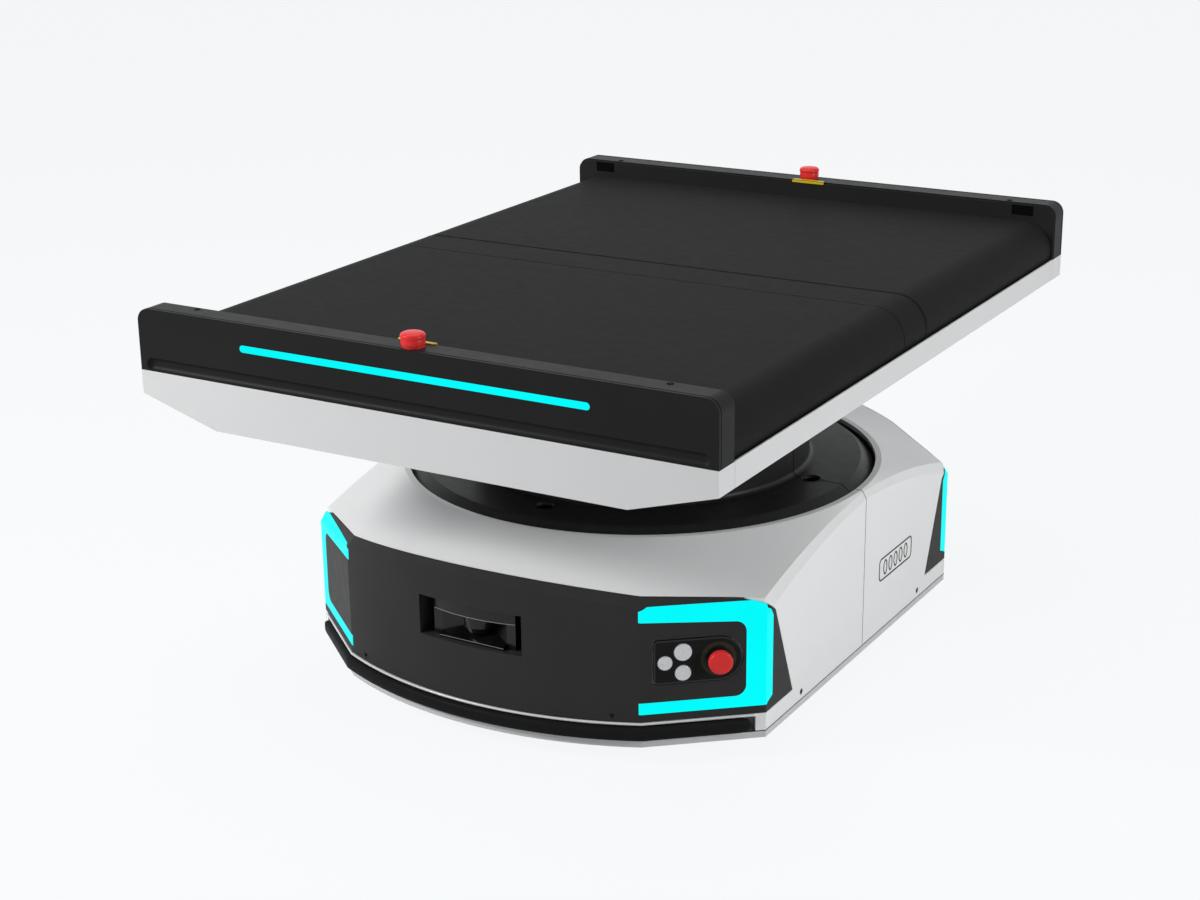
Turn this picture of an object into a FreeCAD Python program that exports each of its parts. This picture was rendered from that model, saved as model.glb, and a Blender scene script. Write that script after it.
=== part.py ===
import FreeCAD, Part
import Sketcher
import math
import os
import re
from FreeCAD import Placement, Rotation, Vector

# A conveyor robot: a round-nosed mobile base, a slewing column and a two-belt transfer deck.
# +Z is up, the laser scanner looks towards -Y, and the origin is on the floor under the column.
# Lengths are in millimetres and angles in degrees.

SIZES = (
    # deck
    ("deck_width", 800, "across the deck, along X"),
    ("deck_length", 1090, "outer faces of the two guards, along Y"),
    ("tray_bottom_height", 395.3, "underside of the tray"),
    ("tray_slope_rise", 32.7, "tray's sloped underside, up and down"),
    ("tray_depth", 63, "tray, up and down"),
    ("tray_floor_width", 575.2, "flat part of the tray's underside"),
    ("tray_wall", 2.5, "tray sheet"),
    ("seam_gap", 0.6, "visible joint between two covers"),
    ("guard_thickness", 37, "end guard, along Y"),
    ("guard_height", 79, "end guard above the tray rim"),
    ("guard_corner_radius", 17, "upper corners of the guard"),
    ("guard_face_wall", 5, "outer wall of the guard"),
    ("guard_wall", 3, "top and end walls of the guard"),
    ("guard_groove_length", 782, "finger groove along the guard's foot"),
    ("guard_groove_radius", 9.5, "section of the finger groove"),
    ("guard_groove_depth", 5.5, "depth of the finger groove"),
    ("guard_groove_height", 8.7, "centre of the groove above the tray rim"),
    ("guard_line_width", 1, "shadow line round the guard's outer plate"),
    ("guard_line_setback", 4, "shadow line behind the outer face"),
    ("liner_thickness", 3.4, "inner plate of the guard"),
    ("liner_drop", 2.3, "inner plate's top below the guard's top"),
    ("light_bar_length", 484, "light bar, end to end"),
    ("light_bar_width", 8.6, "light bar, up and down"),
    ("light_bar_depth", 3, "light bar's thickness"),
    ("light_bar_rise", 47.7, "light bar's centre line above the tray rim"),
    ("light_clearance", 0.2, "round a light guide in its slot"),
    ("sensor_spacing", 701, "between the item sensors of one guard"),
    ("sensor_width", 33, "item sensor window"),
    ("sensor_window_height", 15, "item sensor window"),
    ("sensor_depth", 14, "item sensor body"),
    ("sensor_sill_drop", 18.3, "sensor window's sill below the guard's top"),
    ("stop_setback", 16, "deck stop button behind the guard's outer face"),
    # belts and rollers
    ("roller_radius", 40, "drum motor and idler"),
    ("roller_rise", 74.7, "roller axes above the tray's underside"),
    ("belt_thickness", 1.7, "conveyor belt"),
    ("belt_running_gap", 0.3, "belt off the rollers and the bed"),
    ("belt_side_gap", 1.5, "belt to the tray's side"),
    ("belt_end_gap", 1.2, "belt edge to its neighbour"),
    ("journal_radius", 10, "roller journals"),
    ("journal_gap", 0.05, "running fit of a journal"),
    ("strip_width", 69, "cover strip between the belts"),
    ("strip_thickness", 2, "cover strip sheet"),
    ("strip_hem", 40, "strip's return under the rollers"),
    ("frame_plate", 6, "deck frame's plates"),
    ("frame_plate_spacing", 50, "between the outer faces of the centre plates"),
    ("bed_thickness", 4, "slider bed"),
    ("bed_end_gap", 8, "slider bed to the rollers"),
    # column and turntable
    ("cover_hub_radius", 230, "column cover"),
    ("cover_flare", 7, "flared foot of the column cover"),
    ("cover_disc_radius", 317, "cover disc"),
    ("cover_disc_height", 256, "top of the cover disc"),
    ("cover_bevel_width", 17, "bevel round the cover disc"),
    ("cover_bevel_drop", 13, "bevel round the cover disc"),
    ("cover_wall", 3, "cover sheet"),
    ("cover_hole_radius", 12.5, "access holes in the disc"),
    ("cover_hole_reach", 256, "access holes from the axis"),
    ("cover_top_gap", 0.5, "cover to the tray"),
    ("column_radius", 100, "column tube"),
    ("column_wall", 8, "column tube"),
    ("column_flange", 9, "column flanges"),
    ("column_head_radius", 160, "column's upper flange"),
    ("ring_outer_radius", 205, "slewing ring, outer race"),
    ("ring_split_radius", 176, "between the two races"),
    ("ring_height", 22, "slewing ring races"),
    ("ring_gap", 0.3, "running gap between the races"),
    ("ring_step", 3, "inner race above the outer race"),
    ("gear_module", 4, "slewing gear"),
    ("gear_teeth", 68, "internal gear of the inner race"),
    ("pinion_teeth", 17, "pinion"),
    ("gear_backlash", 0.5, "slewing gear, at the pitch circle"),
    ("gear_width", 18, "toothed width of the pinion"),
    # mobile base
    ("base_width", 672, "between the side walls"),
    ("side_length", 582.8, "flat length of a side wall"),
    ("facet_end_across", 217, "where a corner facet meets the nose, from the centre plane"),
    ("facet_end_along", 390.7, "where a corner facet meets the nose, from the column"),
    ("nose_reach", 440, "middle of the nose from the column"),
    ("plinth_bottom", 23.5, "ground clearance"),
    ("plinth_height", 9, "visible edge of the chassis"),
    ("shell_gap", 0.5, "shell above the chassis edge"),
    ("plinth_lip", 8, "downturned edge of the chassis floor"),
    ("pan_thickness", 4, "chassis floor"),
    ("skirt_inset", 18, "chassis skirt inside the outline"),
    ("skirt_thickness", 4, "chassis skirt"),
    ("deck_plate_height", 118, "underside of the chassis deck plate"),
    ("deck_plate", 6, "chassis deck plate"),
    ("fascia_bottom", 57, "lower edge of the dark fascia"),
    ("ledge_bottom", 53, "shell's lower edge over the bumper"),
    ("crease_corner", 186, "height of the crease at the corners"),
    ("crease_facet", 205, "height of the crease where facet and nose meet"),
    ("crease_nose", 222, "height of the crease in the middle of the nose"),
    ("crease_side", 241, "height of the crease in the middle of the side"),
    ("brow_corner", 204, "fascia's top edge at the corners"),
    ("brow_facet", 218, "fascia's top edge where facet and nose meet"),
    ("brow_nose", 236, "fascia's top edge in the middle of the nose"),
    ("brow_side", 250, "top of the side bevel in the middle"),
    ("brow_inset", 10, "fascia's top edge inside the facets"),
    ("brow_nose_inset", 2, "fascia's top edge inside the nose"),
    ("brow_side_inset", 5, "top of the side bevel inside the side wall"),
    ("rim_height", 252, "rim round the turntable"),
    ("rim_radius", 328, "rim round the turntable"),
    ("rim_width", 8, "rim round the turntable"),
    ("fascia_thickness", 3, "fascia and corner lights"),
    ("fascia_gap", 0.3, "fascia off the shell behind it"),
    ("shell_thickness", 6, "shell, fascia layer included"),
    ("fascia_edge_gap", 0.8, "joint round the fascia"),
    ("fascia_side_top", 269, "slanted fascia edge on the side, at the crease"),
    ("fascia_side_bottom", 217, "slanted fascia edge on the side, at the bottom"),
    ("fascia_corner", 12, "rounding of the fascia's upper corner"),
    # corner lights
    ("light_wrap", 17.5, "corner light round the corner"),
    ("light_arm_top", 207, "upper arm, outer edge at the nose"),
    ("light_arm_top_corner", 203, "upper arm, outer edge at the corner"),
    ("light_arm_inner", 188, "upper arm, inner edge"),
    ("light_arm_inner_corner", 181, "upper arm, inner edge at the corner"),
    ("light_foot", 67, "lower arm, outer edge"),
    ("light_foot_inner", 82, "lower arm, inner edge"),
    ("light_bar_start", 130, "upright bar from the facet's start"),
    ("light_start", -3, "arm tips from the facet's start"),
    ("light_inner_radius", 14, "inner corners of the light"),
    ("light_tip_chamfer", 8, "tip of the upper arm"),
    ("light_side_top", 180, "corner light on the side wall, top"),
    # scanner
    ("window_width", 150, "scanner window"),
    ("window_bottom", 131, "scanner window"),
    ("window_top", 184, "scanner window"),
    ("window_depth", 42, "depth of the window's tunnel"),
    ("window_wall", 3, "wall of the tunnel"),
    ("scanner_width", 96, "laser scanner's foot"),
    ("scanner_length", 72, "laser scanner's foot"),
    ("scanner_front", 432, "scanner's front from the column"),
    ("scanner_head_radius", 20, "scanner's optical head"),
    ("hood_half", 60, "half the width of the scanner's hood"),
    ("hood_sweep", 8, "bow of the hood's front edge"),
    ("hood_depth", 16, "hood, up and down"),
    ("deflector_half", 47, "half the width of the scanner's lower deflector"),
    ("deflector_edge", 2.7, "front edge of the deflector"),
    ("deflector_rise", 12, "deflector's slope up to the head"),
    # bumpers
    ("bumper_bottom", 34, "bumper strip"),
    ("bumper_top", 52, "bumper strip"),
    ("bumper_proud", 9, "bumper outside the outline"),
    ("bumper_depth", 13, "bumper strip's thickness"),
    ("bumper_end", 19, "bumper's end from the corner"),
    ("bumper_travel", 5, "bumper's travel"),
    ("bumper_pin_radius", 5, "bumper guide pins"),
    ("bumper_pin_spacing", 240, "between the guide pins"),
    ("bumper_pin_gap", 0.1, "guide pin in its hole"),
    # controls
    ("plate_left", 15, "control plate from the facet's start"),
    ("plate_right", 125, "control plate's round end"),
    ("plate_bottom", 106, "control plate"),
    ("plate_top", 163, "control plate"),
    ("plate_corner_radius", 5, "control plate's small corners"),
    ("plate_gap", 1.2, "groove round the control plate"),
    ("plate_thickness", 3, "control plate"),
    ("stop_across", 95, "base stop button on the plate"),
    ("stop_height", 134.5, "base stop button"),
    ("stop_head_radius", 15, "stop button heads"),
    ("stop_head_height", 11, "stop button heads"),
    ("stop_stem_radius", 8, "stop button stems"),
    ("stop_travel", 3, "stop button travel"),
    ("stop_collar_radius", 13, "collar under a stop button"),
    ("stop_neck_radius", 11, "threaded neck of a stop button"),
    ("stop_block", 18, "contact block, square"),
    ("stop_block_depth", 34, "contact block"),
    ("button_proud", 2, "push buttons above the plate"),
    ("button_flange", 1.5, "collar that keeps a button in the plate"),
    ("button_gap", 0.3, "button in its hole"),
    ("upper_button_across", 51, "start button"),
    ("upper_button_height", 146.5, "start button"),
    ("upper_button_radius", 11, "start button"),
    ("side_button_across", 29, "power button"),
    ("side_button_height", 133.7, "power button"),
    ("side_button_radius", 9, "power button"),
    ("lower_button_across", 51, "reset button"),
    ("lower_button_height", 119.4, "reset button"),
    ("lower_button_radius", 10, "reset button"),
    ("screw_radius", 4, "cover screws"),
    ("screw_gap", 0.2, "screw head in its hole"),
    ("fascia_screw_across", 185, "fascia screws from the centre plane"),
    ("fascia_screw_height", 65, "fascia screws"),
    ("side_screw_along", 190, "side screws from the column"),
    ("side_screw_height", 43, "side screws"),
    # drive
    ("drive_wheel_radius", 80, "drive wheels"),
    ("drive_wheel_width", 44, "drive wheels"),
    ("drive_track", 500, "between the drive wheels' middles"),
    ("drive_bore_radius", 10, "drive shafts"),
    ("arm_thickness", 10, "suspension arms"),
    ("arm_wheel_gap", 4, "arm to the drive wheel"),
    ("arm_pivot_reach", 110, "pivot behind the drive axle"),
    ("arm_pivot_height", 80, "pivot above the floor"),
    ("arm_boss_radius", 17, "boss at the pivot"),
    ("arm_pad_reach", 88, "buffer in front of the drive axle"),
    ("arm_pad_height", 86, "top of the arm's pad"),
    ("arm_lug", 8, "lugs that hold a suspension pivot"),
    ("arm_lug_half", 18, "half the length of a pivot lug"),
    ("pivot_radius", 8, "pivot pins"),
    ("buffer_radius", 15, "suspension buffer"),
    ("buffer_bore", 5, "suspension buffer"),
    ("gearmotor_radius", 29, "drive gearmotors"),
    ("gearbox_length", 60, "drive gearbox"),
    ("motor_length", 62, "drive motor"),
    ("wheel_slot_length", 160, "opening for a drive wheel"),
    ("wheel_slot_gap", 6, "drive wheel to the opening's sides"),
    # castors
    ("castor_across", 200, "castor swivel from the centre plane"),
    ("castor_along", 275, "castor swivel from the column"),
    ("castor_trail", 30, "castor axle behind the swivel"),
    ("castor_wheel_radius", 37.5, "castor wheels"),
    ("castor_wheel_width", 28, "castor wheels"),
    ("castor_axle_radius", 6, "castor axles"),
    ("castor_leg", 4, "castor fork legs"),
    ("castor_side_gap", 0.5, "castor wheel to its fork"),
    ("castor_crown", 5, "castor fork crown"),
    ("castor_pin_radius", 8, "castor kingpin"),
    ("castor_hole_radius", 74, "opening in the chassis floor"),
    ("castor_top_gap", 0.3, "fork crown to the deck plate"),
    # inside
    ("frame_ring_radius", 290, "turntable frame's plate"),
    ("frame_ring_height", 216, "underside of the turntable frame's plate"),
    ("frame_ring_plate", 6, "turntable frame's plate"),
    ("frame_post_width", 40, "turntable frame's posts"),
    ("frame_post_reach", 170, "turntable frame's posts"),
    ("gearbox_radius", 38, "turntable gearmotor"),
    ("turn_gearbox_length", 48, "turntable gearbox"),
    ("turn_motor_length", 36, "turntable motor"),
    ("turn_shaft_radius", 9, "pinion shaft"),
    ("battery_width", 300, "battery pack"),
    ("battery_length", 130, "battery pack"),
    ("battery_height", 78, "battery pack"),
    ("battery_start", 212, "battery pack from the column"),
    ("controller_width", 250, "controller box"),
    ("controller_length", 110, "controller box"),
    ("controller_height", 62, "controller box"),
    ("controller_start", 212, "controller box from the column"),
)

DERIVED = (
    ("tray_shoulder_height", "tray_bottom_height + tray_slope_rise"),
    ("tray_rim_height", "tray_bottom_height + tray_depth"),
    ("roller_height", "tray_bottom_height + roller_rise"),
    ("light_bar_height", "tray_rim_height + light_bar_rise"),
    ("tray_slope", "atan((tray_shoulder_height - tray_bottom_height)/(deck_width/2 - tray_floor_width/2))/1deg"),
    ("half_deck", "deck_width/2"),
    ("half_length", "deck_length/2"),
    ("guard_top", "tray_rim_height + guard_height"),
    ("guard_inner", "half_length - guard_thickness"),
    ("liner_outer", "guard_inner + liner_thickness"),
    ("belt_inner_radius", "roller_radius + belt_running_gap"),
    ("belt_outer_radius", "belt_inner_radius + belt_thickness"),
    ("roller_across", "half_deck - tray_wall - belt_side_gap - belt_outer_radius"),
    ("belt_start", "strip_width/2 + belt_end_gap"),
    ("belt_end", "guard_inner - belt_end_gap/4"),
    ("end_plate", "liner_outer + belt_running_gap"),
    ("bed_top", "roller_height + roller_radius"),
    ("column_top", "tray_bottom_height + tray_wall + belt_running_gap"),
    ("sensor_sill", "guard_top - sensor_sill_drop"),
    ("stop_along", "half_length - stop_setback"),
    ("half_base", "base_width/2"),
    ("half_side", "side_length/2"),
    ("facet_run", "half_base - facet_end_across"),
    ("facet_rise", "facet_end_along - half_side"),
    ("facet_length", "sqrt(facet_run^2 + facet_rise^2)"),
    ("facet_nx", "facet_rise/facet_length"),
    ("facet_ny", "facet_run/facet_length"),
    ("facet_reach", "facet_nx*half_base + facet_ny*half_side"),
    ("facet_turn", "atan(facet_rise/facet_run)/1deg"),
    ("nose_rise", "nose_reach - facet_end_along"),
    ("nose_radius", "(facet_end_across^2 + nose_rise^2)/(2*nose_rise)"),
    ("nose_nx", "facet_end_across/nose_radius"),
    ("nose_ny", "1 - nose_rise/nose_radius"),
    ("bend_share", "1 + facet_nx*nose_nx + facet_ny*nose_ny"),
    ("bend_x", "(facet_nx + nose_nx)/bend_share"),
    ("bend_y", "(facet_ny + nose_ny)/bend_share"),
    ("plinth_top", "plinth_bottom + plinth_height"),
    ("shell_bottom", "plinth_top + shell_gap"),
    ("deck_plate_top", "deck_plate_height + deck_plate"),
    ("plate_middle", "(plate_bottom + plate_top)/2"),
    ("plate_round", "(plate_top - plate_bottom)/2"),
    ("ring_bottom", "frame_ring_height + frame_ring_plate"),
    ("inner_ring_top", "ring_bottom + ring_height + ring_step"),
    ("gear_pitch_radius", "gear_module*gear_teeth/2"),
    ("pinion_pitch_radius", "gear_module*pinion_teeth/2"),
    ("pinion_along", "gear_pitch_radius - pinion_pitch_radius"),
    ("wheel_inner_face", "drive_track/2 - drive_wheel_width/2"),
    ("arm_outer", "wheel_inner_face - arm_wheel_gap"),
    ("arm_inner", "arm_outer - arm_thickness"),
    ("fork_half", "castor_wheel_width/2 + castor_side_gap"),
    ("castor_crown_top", "deck_plate_height - castor_top_gap"),
)

doc = FreeCAD.newDocument("ConveyorRobot")
sizes = doc.addObject("Spreadsheet::Sheet", "Sizes")
derived = doc.addObject("Spreadsheet::Sheet", "Derived")

for row, (alias, size, meaning) in enumerate(SIZES, start=1):
    sizes.set("A%d" % row, alias)
    sizes.set("B%d" % row, str(size))
    sizes.set("C%d" % row, meaning)
    sizes.setAlias("B%d" % row, alias)

OWNER = {alias: "Sizes" for alias, size, meaning in SIZES}


def bound(text):
    """Turn plain aliases into references to the two sheets."""
    def refer(match):
        word = match.group(0)
        if word in OWNER:
            return OWNER[word] + "." + word
        return word
    return re.sub(r"[a-z_]{3,}", refer, text)


for row, (alias, formula) in enumerate(DERIVED, start=1):
    derived.set("A%d" % row, alias)
    derived.set("B%d" % row, "=" + bound(formula))
    derived.setAlias("B%d" % row, alias)
    OWNER[alias] = "Derived"

doc.recompute()


def number(text):
    """The present value of a size or a formula."""
    return float(derived.evalExpression(bound(str(text))))


# ---------------------------------------------------------------- building blocks

PLANES = {"XY": "XY_Plane", "XZ": "XZ_Plane", "YZ": "YZ_Plane"}
nodes = []


def drive(item, prop, text):
    """Tie a property to a formula."""
    item.setExpression(prop, bound(text))


def origin_plane(body, plane):
    for feature in body.Origin.OriginFeatures:
        if feature.Role == PLANES[plane]:
            return feature
    raise RuntimeError("no plane " + plane)


def new_sketch(body, plane, height):
    """An empty sketch on one of the body's own planes, moved along the plane's normal."""
    sketch = body.newObject("Sketcher::SketchObject", body.Name + "_sketch")
    sketch.AttachmentSupport = [(origin_plane(body, plane), "")]
    sketch.MapMode = "FlatFace"
    drive(sketch, "AttachmentOffset.Base.z", height)
    return sketch


def pin_point(sketch, geometry, end, x_text, y_text):
    """Hold one point of a sketch at two formulas."""
    for kind, text in (("DistanceX", x_text), ("DistanceY", y_text)):
        rule = Sketcher.Constraint(kind, -1, 1, geometry, end, number(text))
        index = sketch.addConstraint(rule)
        drive(sketch, "Constraints[%d]" % index, text)


def draw_circle(sketch, circle):
    x_text, y_text, radius = circle
    centre = Vector(number(x_text), number(y_text), 0)
    index = sketch.addGeometry(Part.Circle(centre, Vector(0, 0, 1), number(radius)), False)
    pin_point(sketch, index, 3, x_text, y_text)
    rule = sketch.addConstraint(Sketcher.Constraint("Radius", index, number(radius)))
    drive(sketch, "Constraints[%d]" % rule, radius)


def arc_between(start, end, radius, turn):
    """The minor arc from start to end: turn is 1 when it runs anticlockwise and -1 when clockwise."""
    half = (end - start) * 0.5
    rise = math.sqrt(max(radius ** 2 - half.Length ** 2, 0.0))
    side = Vector(-half.y, half.x, 0).normalize() * rise * turn
    centre = start + half + side
    first = math.atan2(start.y - centre.y, start.x - centre.x)
    last = math.atan2(end.y - centre.y, end.x - centre.x)
    if turn < 0:
        first, last = last, first
    if last <= first:
        last += 2 * math.pi
    return Part.ArcOfCircle(Part.Circle(centre, Vector(0, 0, 1), radius), first, last)


def draw_loop(sketch, corners):
    """A closed outline: a corner is (x, y), or (x, y, radius, turn) where an arc leads to it."""
    spots = [Vector(number(corner[0]), number(corner[1]), 0) for corner in corners]
    joints = []
    for place, corner in enumerate(corners):
        start, end = spots[place - 1], spots[place]
        if len(corner) == 4:
            arc = arc_between(start, end, number(corner[2]), corner[3])
            index = sketch.addGeometry(arc, False)
            rule = sketch.addConstraint(Sketcher.Constraint("Radius", index, number(corner[2])))
            drive(sketch, "Constraints[%d]" % rule, corner[2])
            ends = (1, 2) if corner[3] > 0 else (2, 1)
        else:
            index = sketch.addGeometry(Part.LineSegment(start, end), False)
            ends = (1, 2)
        joints.append((index, ends))
    for place, (index, ends) in enumerate(joints):
        before, before_ends = joints[place - 1]
        sketch.addConstraint(Sketcher.Constraint("Coincident", before, before_ends[1], index, ends[0]))
        pin_point(sketch, index, ends[1], corners[place][0], corners[place][1])


def draw(body, plane, height, outlines):
    """A sketch of outlines: a tuple of three texts is a circle, a list is a closed outline."""
    sketch = new_sketch(body, plane, height)
    for outline in outlines:
        if isinstance(outline, tuple):
            draw_circle(sketch, outline)
        else:
            draw_loop(sketch, outline)
    return sketch


def new_body(name):
    body = doc.addObject("PartDesign::Body", name)
    body.Label = name
    body.AllowCompound = True
    return body


def add_pad(body, plane, low, high, *outlines):
    """Material between two heights along the plane's axis."""
    level = "-(%s)" % high if plane == "XZ" else low
    pad = body.newObject("PartDesign::Pad", body.Name + "_pad")
    pad.Profile = draw(body, plane, level, outlines)
    drive(pad, "Length", "(%s) - (%s)" % (high, low))
    return pad


def add_pocket(body, plane, low, high, *outlines):
    """Material taken away between two heights along the plane's axis."""
    level = "-(%s)" % low if plane == "XZ" else high
    pocket = body.newObject("PartDesign::Pocket", body.Name + "_pocket")
    pocket.Profile = draw(body, plane, level, outlines)
    drive(pocket, "Length", "(%s) - (%s)" % (high, low))
    return pocket


def add_turned(body, *outlines):
    """Material turned about Z, drawn as (radius, height)."""
    turn = body.newObject("PartDesign::Revolution", body.Name + "_turn")
    sketch = draw(body, "XZ", "0", outlines)
    turn.Profile = sketch
    turn.ReferenceAxis = (sketch, ["V_Axis"])
    turn.Angle = 360
    return turn


def box_outline(left, right, low, high):
    return [(left, low), (right, low), (right, high), (left, high)]


def ring_outline(inner, outer, low, high):
    return box_outline(inner, outer, low, high)


def soften(body, radius, chosen):
    """Round the edges of the body's tip that the test picks."""
    doc.recompute()
    tip = body.Tip
    names = []
    for place, edge in enumerate(tip.Shape.Edges, start=1):
        if chosen(edge):
            names.append("Edge%d" % place)
    fillet = body.newObject("PartDesign::Fillet", body.Name + "_fillet")
    fillet.Base = (tip, names)
    drive(fillet, "Radius", radius)
    return fillet


def upright(edge):
    """Straight and parallel to Z."""
    if not isinstance(edge.Curve, Part.Line):
        return False
    return abs(abs(edge.Curve.Direction.z) - 1) < 1e-6


def place(item, x_text="0", y_text="0", z_text="0", turn=None, axis=None):
    """Put an item somewhere: turn is a formula in degrees about axis, which is Z unless given."""
    if axis is not None:
        item.Placement = Placement(Vector(), Rotation(Vector(*axis), 1))
    elif turn is not None:
        item.Placement = Placement(Vector(), Rotation(Vector(0, 0, 1), 1))
    if turn is not None:
        drive(item, "Placement.Rotation.Angle", turn)
    for letter, text in zip("xyz", (x_text, y_text, z_text)):
        drive(item, "Placement.Base." + letter, text)


def block(x_low, x_high, y_low, y_high, z_low, z_high):
    """A box between two corners."""
    item = doc.addObject("Part::Box", "block")
    drive(item, "Length", "(%s) - (%s)" % (x_high, x_low))
    drive(item, "Width", "(%s) - (%s)" % (y_high, y_low))
    drive(item, "Height", "(%s) - (%s)" % (z_high, z_low))
    place(item, x_low, y_low, z_low)
    return item


AXES = {"X": ((0, 1, 0), 90), "Y": ((1, 0, 0), -90), "Z": ((0, 0, 1), 0)}


def rod(axis, radius, low, high, first, second):
    """A cylinder along an axis, from low to high, centred at the two other coordinates."""
    item = doc.addObject("Part::Cylinder", "rod")
    drive(item, "Radius", radius)
    drive(item, "Height", "(%s) - (%s)" % (high, low))
    about, angle = AXES[axis]
    item.Placement = Placement(Vector(), Rotation(Vector(*about), angle))
    where = {"X": (low, first, second), "Y": (first, low, second), "Z": (first, second, low)}[axis]
    for letter, text in zip("xyz", where):
        drive(item, "Placement.Base." + letter, text)
    return item


def fuse(*items):
    """One solid from several."""
    item = doc.addObject("Part::MultiFuse", "fuse")
    item.Shapes = list(items)
    item.Refine = True
    return item


def group(*items):
    """Separate solids kept together."""
    item = doc.addObject("Part::Compound", "group")
    item.Links = list(items)
    return item


def cut(base, *tools):
    """Take the tools away from the base."""
    item = doc.addObject("Part::Cut", "cut")
    item.Base = base
    if len(tools) == 1:
        item.Tool = tools[0]
    else:
        item.Tool = fuse(*tools)
    return item


def keep(name, item):
    """Name a finished sub-part."""
    item.Label = name
    nodes.append(item)
    return item


def rear_copy(make, name):
    """The same sub-part built again and turned half way round the column."""
    item = make(name)
    if item.Placement.isIdentity():
        place(item, turn="180")
    return item


# ---------------------------------------------------------------- plan of the base


def base_corners(inset):
    """Side, corner, facet end and nose radius of the plan, moved inwards."""
    side = "(half_base - (%s))" % inset
    corner = "((facet_reach - (%s) - facet_nx*%s)/facet_ny)" % (inset, side)
    across = "(facet_end_across - (%s)*bend_x)" % inset
    along = "(facet_end_along - (%s)*bend_y)" % inset
    rise = "(nose_reach - (%s) - %s)" % (inset, along)
    radius = "((%s^2 + %s^2)/(2*%s))" % (across, rise, rise)
    return side, corner, across, along, radius


def base_outline(inset="0"):
    """The whole plan of the base, moved inwards."""
    side, corner, across, along, radius = base_corners(inset)
    return [
        (side, "-" + corner),
        (side, corner),
        (across, along),
        ("-" + across, along, radius, 1),
        ("-" + side, corner),
        ("-" + side, "-" + corner),
        ("-" + across, "-" + along),
        (across, "-" + along, radius, 1),
    ]


def mirrored_circles(across, along, radius):
    """Four circles, one in each quarter."""
    return [(x + across, y + along, radius) for x in ("", "-") for y in ("", "-")]


# ---------------------------------------------------------------- chassis


def make_chassis(name):
    body = new_body(name)
    add_pad(body, "XY", "plinth_bottom", "plinth_top", base_outline())
    add_pocket(body, "XY", "plinth_bottom", "plinth_top - pan_thickness", base_outline("plinth_lip"))
    skirt = base_outline("skirt_inset")
    skirt_inside = base_outline("skirt_inset + skirt_thickness")
    add_pad(body, "XY", "plinth_top", "deck_plate_height", skirt, skirt_inside)
    add_pad(body, "XY", "deck_plate_height", "deck_plate_top", skirt)
    for sign in ("", "-"):
        add_lugs(body, sign)
    slots = []
    for side in (1, -1):
        near = "%d*(wheel_inner_face - wheel_slot_gap)" % side
        far = "%d*(wheel_inner_face + drive_wheel_width + wheel_slot_gap)" % side
        slots.append(box_outline(near, far, "-wheel_slot_length/2", "wheel_slot_length/2"))
    add_pocket(body, "XY", "plinth_bottom", "deck_plate_top", *slots)
    openings = mirrored_circles("castor_across", "castor_along", "castor_hole_radius")
    add_pocket(body, "XY", "plinth_bottom", "plinth_top", *openings)
    kingpins = mirrored_circles("castor_across", "castor_along", "(castor_pin_radius + journal_gap)")
    add_pocket(body, "XY", "deck_plate_height", "deck_plate_top", *kingpins)
    height = "(bumper_bottom + bumper_top)/2"
    pins = [(sign + "bumper_pin_spacing/2", height, "bumper_pin_radius + bumper_pin_gap") for sign in ("", "-")]
    add_pocket(body, "XZ", "-nose_reach", "-nose_reach + 3*skirt_inset", *pins)
    add_pocket(body, "XZ", "nose_reach - 3*skirt_inset", "nose_reach", *pins)
    return body


def add_lugs(body, sign):
    """Two lugs either side of a suspension arm, bored for its pivot."""
    outline = box_outline(
        "arm_pivot_reach - arm_lug_half",
        "arm_pivot_reach + arm_lug_half",
        "arm_pivot_height - arm_lug_half",
        "deck_plate_height",
    )
    hole = ("arm_pivot_reach", "arm_pivot_height", "pivot_radius + journal_gap")
    for start in ("arm_outer + ring_gap", "arm_inner - ring_gap - arm_lug"):
        low, high = start, "%s + arm_lug" % start
        if sign:
            low, high = "-(%s)" % high, "-(%s)" % low
        add_pad(body, "YZ", low, high, outline, hole)


def make_turntable_frame(name):
    body = new_body(name)
    top = "frame_ring_height + frame_ring_plate"
    centre_hole = ("0", "0", "gearbox_radius")
    boss_hole = ("0", "pinion_along", "2*turn_shaft_radius + 6 + ring_gap")
    add_pad(body, "XY", "frame_ring_height", top, ("0", "0", "frame_ring_radius"), centre_hole, boss_hole)
    for x in ("", "-"):
        for y in ("", "-"):
            add_pad(body, "XY", "deck_plate_top", "frame_ring_height", *post_outlines(x, y))
    return body


def post_outlines(x, y):
    """Square tube: outside and inside."""
    outlines = []
    for half in ("frame_post_width/2", "(frame_post_width/2 - skirt_thickness)"):
        left = "%sframe_post_reach - %s" % (x, half)
        right = "%sframe_post_reach + %s" % (x, half)
        low = "%sframe_post_reach - %s" % (y, half)
        high = "%sframe_post_reach + %s" % (y, half)
        outlines.append(box_outline(left, right, low, high))
    return outlines


def make_battery(name):
    body = new_body(name)
    low = "deck_plate_top + ring_gap"
    outline = box_outline("-battery_width/2", "battery_width/2", "battery_start", "battery_start + battery_length")
    add_pad(body, "XY", low, "%s + battery_height" % low, outline)
    soften(body, "screw_radius", upright)
    handle = box_outline("-battery_width/6", "battery_width/6", "battery_start - 1", "battery_start + pan_thickness")
    add_pocket(body, "XY", "%s + battery_height*0.55" % low, "%s + battery_height*0.8" % low, handle)
    return body


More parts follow.
